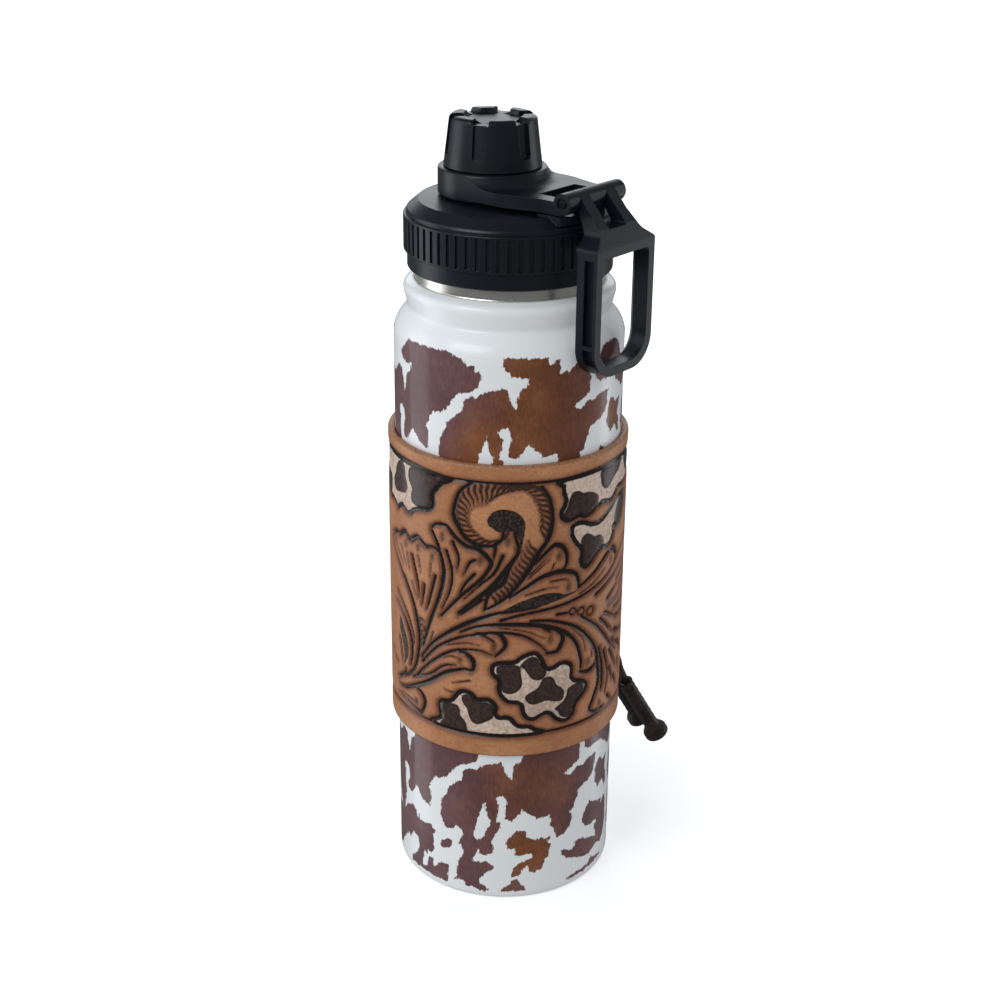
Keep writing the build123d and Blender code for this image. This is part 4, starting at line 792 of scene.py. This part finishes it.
def sleeveLoop():
    # The band's section as (radius, height): the outer face with rounded edges, then the plain back.
    # Returns it with a mark for each point of the outer face
    inner, outer, low, high = sleeve["bore"], sleeve["radius"], sleeve["bottom"], sleeve["top"]
    edge, back, rise, inset = (sleeve[key] for key in ("edge", "backEdge", "backEdgeRise", "backInset"))
    middle = (inner + outer) / 2
    corner = np.linspace(0, np.pi / 2, 6)
    side = np.arange(low + sleeve["lowMargin"], high - sleeve["highMargin"], sleeve["rowStep"])
    front = [np.stack([outer - edge + edge * np.sin(corner), low + edge - edge * np.cos(corner)], -1),
             np.stack([np.full(len(side), outer), side], -1),
             np.stack([outer - edge + edge * np.cos(corner), high - edge + edge * np.sin(corner)], -1)]
    behind = ([(middle, high), (inner + back, high), (inner, high - rise)]
              + [(inner, z) for z in np.linspace(high - inset, low + inset, 9)]
              + [(inner, low + rise), (inner + back, low), (middle, low)])
    loop = np.vstack(front + [behind])
    return loop, np.arange(len(loop)) < len(loop) - len(behind)


def carvedFields(face):
    # For each kind of tooling, the distance from every spot of the face to the nearest cut or patch
    kinds = ("cut", "fine", "cream", "spot", "pebble", "stain", "hole")
    fields = {kind: face.blank() for kind in kinds}
    widths = tooling["widths"]
    for kind, field in (("bold", "cut"), ("medium", "cut"), ("fine", "fine")):
        for line in tooling[kind]:
            face.stroke(fields[field], smoothLine(pairs(line)), widths[kind])
    for line in ropeDashes():
        face.stroke(fields["fine"], line, widths["rope"])
    for kind, field in (("inlays", "cream"), ("spots", "spot"), ("pebbled", "pebble")):
        for outline in tooling[kind]:
            edge = smoothLine(pairs(outline), True, 3)
            face.region(fields[field], edge)
            if kind == "inlays":
                face.stroke(fields["cut"], ringed(edge), widths["inlays"])
    for around, up, radius in tooling["eyes"]:
        face.region(fields["stain"], oval(around, up, radius * 0.6, radius * 1.1))
    for around, up, radius in tooling["rings"]:
        face.stroke(fields["cut"], ringed(oval(around, up, radius, radius)), widths["rings"])
    height = face.spots[:, 1]
    top, bottom = tooling["borders"]
    for border in (top, bottom):
        line = np.abs(height - border) - tooling["borderWidth"] / 2
        fields["cut"] = np.minimum(fields["cut"], line)
    for kind in ("cream", "spot", "pebble"):
        fields[kind][(height >= top) | (height <= bottom)] = face.reach
    turn = (face.spots[:, 0] / sleeve["radius"] - math.radians(sleeve["seam"]) + np.pi) % (2 * np.pi) - np.pi
    aside = (np.abs(turn) - math.radians(holeAngle())) * sleeve["radius"]
    for row in np.linspace(sleeve["bottomRow"], sleeve["topRow"], sleeve["rows"]):
        fields["hole"] = np.minimum(fields["hole"], np.hypot(aside, height - row) - sleeve["holeRadius"])
    return fields


def carvedDrop(fields):
    # How far the face sinks: a smooth step of the distance to each cut, and a slope that leads down to it
    def dip(kind):
        depth, soft = tooling["depths"][kind]
        share = np.clip(0.5 - fields[kind] / (2 * soft), 0, 1)
        return depth * share * share * (3 - 2 * share)

    def slope(kind):
        depth, reach = tooling["slopes"][kind]
        return depth * np.exp(-np.maximum(fields[kind], 0) / reach)

    plain = np.minimum(fields["cream"], fields["pebble"]) > 0.5
    drop = np.maximum(dip("cut") + slope("cut") * plain, dip("fine") + slope("fine"))
    drop = np.maximum(drop, dip("cream") - dip("spot"))
    for kind in ("pebble", "stain", "hole"):
        drop = np.maximum(drop, dip(kind))
    return drop


def sleevePiece():
    # A C-shaped band: its section carried round from one side of the seam to the other, with the outer face
    # sunk at the carving and slightly waved
    outer = sleeve["radius"]
    half = math.degrees(sleeve["gap"] / 2 / outer)
    angles = np.radians(np.linspace(sleeve["seam"] - 360 + half, sleeve["seam"] - half, sleeve["turns"]))
    loop, isOuter = sleeveLoop()
    s = np.broadcast_to((angles * outer)[:, None], (len(angles), len(loop)))
    z = np.broadcast_to(loop[None, :, 1], s.shape)
    face = Canvas(s, z, tooling["period"])
    fields = carvedFields(face)
    drop = carvedDrop(fields).reshape(s.shape) * isOuter
    wave = 0.05 * np.sin(angles * 3 + 0.4)[:, None] + 0.03 * np.sin(angles[:, None] * 7 + z / 23)
    radius = loop[None, :, 0] - drop + wave * isOuter
    points = np.stack([radius * np.cos(angles)[:, None], radius * np.sin(angles)[:, None], z], -1)
    piece = gridPiece("leatherSleeve", points, False, True, capEnds=True)
    for kind, field in fields.items():
        addField(piece, kind, np.where(isOuter[None, :], field.reshape(s.shape), face.reach))
    edge = np.minimum(z - sleeve["bottom"], sleeve["top"] - z)
    addField(piece, "skin", isOuter[None, :] * np.clip((edge - 0.35) / 0.5, 0, 1))
    return piece


# The leather's linear colours; a pair runs from the darker to the lighter end of its grain; hole is
# painted shade, the near black inside the lace holes
leatherColours = {
    "tan": ((0.390, 0.157, 0.062), (0.560, 0.256, 0.111)), "streak": (0.400, 0.170, 0.075),
    "pore": (0.190, 0.072, 0.030), "burnish": (0.290, 0.098, 0.038), "wash": (0.165, 0.050, 0.018),
    "stain": (0.060, 0.019, 0.009), "ivory": ((0.44, 0.31, 0.24), (0.70, 0.55, 0.45)),
    "brown": ((0.028, 0.015, 0.012), (0.062, 0.033, 0.026)), "rim": (0.016, 0.008, 0.006),
    "pebble": ((0.060, 0.034, 0.026), (0.012, 0.008, 0.007)), "dye": (0.013, 0.0085, 0.0075),
    "hole": (0.008, 0.005, 0.004), "rawEdge": ((0.23, 0.095, 0.042), (0.40, 0.185, 0.088)),
}


def sleevePaint():
    # Vegetable-tanned leather: antique dye fills the cuts and fades away from them over about a millimetre
    paint = Paint("tooledLeather")
    shades = leatherColours
    spot = paint.place()
    broad = paint.noise(spot, 38.0, 4.0, 0.55)
    grain = paint.noise(spot, 900.0, 4.0, 0.65)
    pores = paint.cells(spot, 2100.0)
    streak = paint.noise(paint.place((260, 260, 900)), 1.0, 3.0, 0.6)
    cut, fine, patch = paint.field("cut"), paint.field("fine"), paint.field("spot")
    rag = (grain - 0.5) * 0.45
    tan = paint.mix(paint.step(broad, 0.3, 0.72), *shades["tan"])
    tan = paint.mix(paint.step(streak, 0.35, 0.75, 0.0, 0.4), tan, shades["streak"])
    tan = paint.mix(paint.step(grain, 0.35, 0.62, 0.30, 0.0), tan, shades["pore"])
    tan = paint.mix(paint.step(cut, 0.2, 3.4, 0.42, 0.0), tan, shades["burnish"])
    nearCut = paint.step(cut + rag * 1.3, -0.1, 1.5, 0.92, 0.0)
    nearFine = paint.step(fine + rag * 1.3, -0.1, 0.9, 0.8, 0.0)
    tan = paint.mix(nearCut.most(nearFine), tan, shades["wash"])
    tan = paint.mix(paint.step(paint.field("stain") + rag, -0.7, 1.5, 0.8, 0.0), tan, shades["stain"])
    ivory = paint.mix(paint.step(grain * 0.6 + broad * 0.4, 0.4, 0.62), *shades["ivory"])
    brown = paint.mix(paint.step(grain, 0.35, 0.65), *shades["brown"])
    isCream = paint.step(paint.field("cream") + rag * 0.3, -0.1, 0.1, 1.0, 0.0)
    isSpot = paint.step(patch + rag * 0.6, -0.12, 0.12, 1.0, 0.0) * isCream
    colour = paint.mix(isCream, tan, ivory)
    colour = paint.mix(isSpot, colour, brown)
    colour = paint.mix(paint.step(patch.size(), 0.12, 0.5, 0.9, 0.0) * isCream, colour, shades["rim"])
    isPebble = paint.step(paint.field("pebble") + rag, -0.15, 0.25, 1.0, 0.0)
    beads = paint.step(paint.cells(spot, 1150.0), 0.15, 0.75)
    colour = paint.mix(isPebble, colour, paint.mix(beads, *shades["pebble"]))
    dark = paint.step(cut + rag * 0.7, -0.18, 0.16, 1.0, 0.0)
    dark = dark.most(paint.step(fine + rag * 0.5, -0.2, 0.12, 0.85, 0.0))
    colour = paint.mix(dark, colour, shades["dye"])
    # Painted shade: the lace holes are coloured near black, as the face only dips into them
    colour = paint.mix(paint.step(paint.field("hole"), -0.2, 0.35, 1.0, 0.0), colour, shades["hole"])
    rawEdge = paint.mix(paint.step(grain, 0.3, 0.7), *shades["rawEdge"])
    colour = paint.mix(paint.field("skin"), rawEdge, colour)
    relief = paint.bump(beads * isPebble * -0.6 + grain * 0.35 - pores * 0.25, 0.11, 0.55)
    rough = paint.step(dark, 0, 1, 0.46, 0.26) + (grain - 0.5) * 0.2 - isSpot * 0.14
    paint.set(Base_Color=colour, Roughness=rough, Normal=relief, Specular_IOR_Level=0.5)
    return paint


leather = sleevePiece()
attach(leather, "bottle")
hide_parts("leather_sleeve")
finish(leather, sleevePaint())
print("tooled sleeve made")


def lacePaint(name, base, light, rough):
    # Dark leather cord, from its base colour to a lighter one in worn specks
    paint = Paint(name)
    spot = paint.place()
    grain = paint.noise(spot, 950.0, 4.0, 0.6)
    broad = paint.noise(spot, 160.0, 3.0)
    colour = paint.mix(paint.step(broad * 0.5 + grain * 0.5, 0.38, 0.66), base, light)
    paint.set(Base_Color=colour, Roughness=rough + (grain - 0.5) * 0.3, Specular_IOR_Level=0.4,
              Normal=paint.bump(grain, 0.12, 0.6))
    return paint


def lacingRoute():
    # From the far tail up one way through the holes, over the bar at the top and down to the near tail
    barRadius = sleeve["radius"] + 2 * lace["radius"] + lace["barLift"]
    farEnd = [seamPoint(*place) for place in lace["farEnd"]]
    nearEnd = [seamPoint(*place) for place in lace["nearEnd"]]
    up = [farRoute[0]] + farEnd[::-1] + strandPoints(1, False)[::-1]
    down = strandPoints(-1, True) + nearEnd + [nearRoute[0]]
    return up + [seamPoint(0, barRadius, sleeve["topRow"])] + down


laceLeather = lacePaint("laceLeather", (0.016, 0.012, 0.011), (0.060, 0.045, 0.037), 0.48)
lacing = cordPiece("backLacing", lacingRoute(), lace["radius"])[0]
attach(lacing, "bottle")
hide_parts("back_lacing")
for cord in (lacing, nearTail, farTail):
    finish(cord, laceLeather)


def tipPiece(name, mouth):
    # A rolled tube: its closed profile turned round the tip's line, with an overlapping edge along one side
    r, bore, flare, end = tip["radius"], tip["bore"], tip["flare"], tip["length"]
    floor, rim = end - tip["solid"], end - tip["flareLength"]
    profile = roundedPath([
        (0, floor, 0), (bore, floor, 0.2), (bore, 0.3, 0),  # the bore
        (bore + 0.35, 0, 0), (r, 0, 0.45), (r + 0.25, 0.6, 0.3), (r, 1.3, 0.3),  # the thickened mouth
        (r, rim - tip["slope"], 1.2), (flare - 0.15, rim, 0.6), (flare, rim + 0.5, 0.3),  # tube and flare
        (flare - 0.25, end - 1.35, 0.15), (flare, end - 0.8, 0.2),  # the groove round the flare
        (flare - 0.1, end - 0.1, 0.35), (flare - 0.9, end, 0.2), (flare - 1.1, end - 0.25, 0.1),
        (0, end - 0.1, 0)], 4)
    profile = spread(profile, 0.45)
    angles = np.linspace(0, 2 * np.pi, tip["turns"], endpoint=False)
    lap = tip["lap"] * (angles / (2 * np.pi)) ** 6
    along = profile[None, :, 1]
    shaft = np.clip((profile[None, :, 0] - bore - 0.1) / 0.5, 0, 1)
    shaft = shaft * np.clip((rim - tip["slope"] - along) / 2, 0, 1)
    ripple = tip["ripple"] * np.sin(along * 2.3 + angles[:, None])
    radius = profile[None, :, 0] + shaft * (lap[:, None] + ripple - tip["waist"])
    ahead = np.array(tipDirection())
    side = np.cross(ahead, (0, 0, 1))
    side /= np.linalg.norm(side)
    up = np.cross(side, ahead)
    around = np.cos(angles)[:, None, None] * side + np.sin(angles)[:, None, None] * up
    points = np.array(mouth) + ahead * along[..., None] + radius[..., None] * around
    piece = gridPiece(name, points, True, False)
    weld(piece)
    return piece


tipLeather = lacePaint("tipLeather", (0.010, 0.007, 0.0065), (0.042, 0.027, 0.022), 0.40)
for side, tail, line in (("near", nearTail, nearLine), ("far", farTail, farLine)):
    piece = tipPiece(side + "LaceTip", seamPoint(*lace[side + "Mouth"]))
    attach(piece, "bottle")
    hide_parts("lace_tip_" + side)
    finish(piece, tipLeather)
    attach(tail, "bottle")
    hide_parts("lace_tail_" + side)
print("lacing, tails and tips made")


def plasticPaint(name, base, rough, speck=1.0):
    # Moulded plastic: fine texture, faint dust on it and edges that catch the light
    paint = Paint(name)
    spot = paint.place()
    fine = paint.noise(spot, 2600.0, 2.0, 0.6)
    broad = paint.noise(spot, 60.0, 4.0, 0.6)
    dust = paint.step(paint.noise(spot, 900.0, 5.0, 0.75), 0.60, 0.78, 0.0, 0.10 * speck)
    colour = paint.mix(paint.step(broad, 0.3, 0.7), base, tuple(c * 1.35 for c in base))
    colour = paint.mix(dust, colour, (0.16, 0.16, 0.165))
    paint.set(Base_Color=colour, Roughness=rough + (broad - 0.5) * 0.12 + (fine - 0.5) * 0.06,
              Normal=paint.bump(fine, 0.03, 0.35, paint.softEdges(0.22)), Specular_IOR_Level=0.5)
    return paint


def steelPaint(name, base, rough, stretch):
    # Drawn or turned steel: fine scratches round or along the piece
    paint = Paint(name)
    lines = paint.noise(paint.place(stretch), 1.0, 4.0, 0.7)
    colour = paint.mix(lines, base, tuple(min(1.0, c * 1.15) for c in base))
    paint.set(Base_Color=colour, Metallic=1.0, Roughness=rough + (lines - 0.5) * 0.16,
              Normal=paint.bump(lines, 0.012, 0.3))
    return paint


def rubberPaint(name, base):
    # Soft moulded silicone, faintly clouded
    paint = Paint(name)
    spot = paint.place()
    cloud = paint.noise(spot, 220.0, 4.0)
    paint.set(Base_Color=paint.mix(cloud, base, tuple(c * 0.86 for c in base)),
              Roughness=0.55 + (cloud - 0.5) * 0.2, Normal=paint.bump(paint.noise(spot, 1800.0), 0.02, 0.3))
    return paint


def coatedFootPaint():
    # The foot's plain white coat, as on the body
    paint = Paint("coatedFoot")
    white, peel, cloud = whiteCoat(paint, paint.place())
    paint.set(Base_Color=white, Roughness=0.36 + (cloud - 0.5) * 0.05, Normal=paint.bump(peel, 0.02, 0.3))
    return paint


blackPlastic = plasticPaint("blackPlastic", (0.0034, 0.0051, 0.0098), 0.36)
innerPlastic = plasticPaint("innerPlastic", (0.016, 0.016, 0.018), 0.46, 0.6)
bareSteel = steelPaint("bareSteel", (0.93, 0.87, 0.79), 0.28, (60, 60, 2200))
pinSteel = steelPaint("pinSteel", (0.035, 0.036, 0.040), 0.34, (1800, 200, 1800))
getterMetal = steelPaint("getterMetal", (0.50, 0.49, 0.47), 0.45, (700, 700, 700))
silicone = rubberPaint("silicone", (0.66, 0.66, 0.645))
nodeFinishes = {
    "outer_shell": bareSteel, "inner_liner": bareSteel, "base_cup": coatedFootPaint(), "base_pad": silicone,
    "getter": getterMetal, "lid_gasket": silicone, "lid_shell": blackPlastic, "lid_liner": innerPlastic,
    "spout": blackPlastic, "spout_seal": silicone, "hinge_pin": pinSteel, "cap_strap": blackPlastic,
    "cap_shell": blackPlastic, "cap_liner": innerPlastic, "cap_gasket": silicone,
    "cap_snap_ring": innerPlastic, "carry_handle": blackPlastic,
}
for name, paint in nodeFinishes.items():
    finishNode(name, paint)
print("plastic, steel and silicone finishes given")

# A white sweep with tall soft boxes at the sides, whose reflections run down the coat, and a dim room in what
# is glossy. Rooms are (strength, colour), lights (name, place, size, power), lengths metres
studio = {
    "floor": 7.0, "floorGlow": (0.36, 0.60), "glowReach": (0.045, 0.18),
    "room": (0.60, (0.97, 0.985, 1.0)), "glossRoom": (0.13, (0.94, 0.97, 1.0)),
    "backdrop": (1.0, (1.0, 1.0, 1.0)),
    "aim": (0, 0, 0.13), "lampColour": (0.93, 0.965, 1.0),
    "lights": [
        ("sideLight", (-1.05, -0.60, 0.10), (0.6, 1.7), 4.8),
        ("frontLight", (-0.10, -1.25, 1.00), (0.9, 0.7), 8.5),
        ("rimLight", (0.55, 1.05, 0.10), (0.3, 1.5), 2.6),
        ("backLight", (-0.75, 0.90, 0.55), (1.2, 0.5), 3.2),
    ],
}


def studioFloor():
    # A flat grid of paper that glows less close to the bottle, so that its shadow is soft
    ticks = np.linspace(-studio["floor"], studio["floor"], 9)
    grid = np.stack(np.meshgrid(ticks, ticks, (0.0,), indexing="ij"), -1)[:, :, 0]
    floor = gridPiece("studioFloor", grid / mm, False, False)
    paint = Paint("studioFloor")
    paper = paint.noise(paint.place(), 300.0)
    away = paint.add("VectorMath", {"operation": "LENGTH"}, {0: paint.place()}, 1)
    near, far = ((glow, glow, glow) for glow in studio["floorGlow"])
    paint.set(Base_Color=paint.mix(paper, (0.86, 0.86, 0.86), (0.88, 0.88, 0.88)), Roughness=0.8,
              Emission_Color=paint.mix(paint.step(away, *studio["glowReach"]), near, far),
              Emission_Strength=1.0, Specular_IOR_Level=0.1)
    finish(floor, paint)
    floor.visible_glossy = False
    floor.visible_diffuse = False
    floor.visible_shadow = False


def studioLights():
    for name, place, size, power in studio["lights"]:
        lamp = bpy.data.lights.new(name, "AREA")
        lamp.shape = "RECTANGLE"
        lamp.size, lamp.size_y = size
        lamp.energy = power
        lamp.color = studio["lampColour"]
        light = bpy.data.objects.new(name, lamp)
        light.location = place
        light.rotation_euler = (Vector(place) - Vector(studio["aim"])).to_track_quat("Z", "Y").to_euler()
        bpy.context.scene.collection.objects.link(light)


def studioRoom():
    # Scattered rays see the room, glossy ones a dimmer room, and the camera a white backdrop
    world = bpy.data.worlds.new("studioRoom")
    world.use_nodes = True
    nodes, links = world.node_tree.nodes, world.node_tree.links
    rays = nodes.new("ShaderNodeLightPath")

    def background(node, key):
        strength, colour = studio[key]
        node.inputs[0].default_value = (*colour, 1.0)
        node.inputs[1].default_value = strength
        return node

    def choose(ray, others, key):
        mixer = nodes.new("ShaderNodeMixShader")
        links.new(rays.outputs[ray], mixer.inputs[0])
        links.new(others.outputs[0], mixer.inputs[1])
        links.new(background(nodes.new("ShaderNodeBackground"), key).outputs[0], mixer.inputs[2])
        return mixer

    reflected = choose("Is Glossy Ray", background(nodes["Background"], "room"), "glossRoom")
    seen = choose("Is Camera Ray", reflected, "backdrop")
    links.new(seen.outputs[0], nodes["World Output"].inputs[0])
    bpy.context.scene.world = world
    bpy.context.scene.view_settings.view_transform = "Standard"


studioFloor()
studioLights()
studioRoom()
print("studio ready")
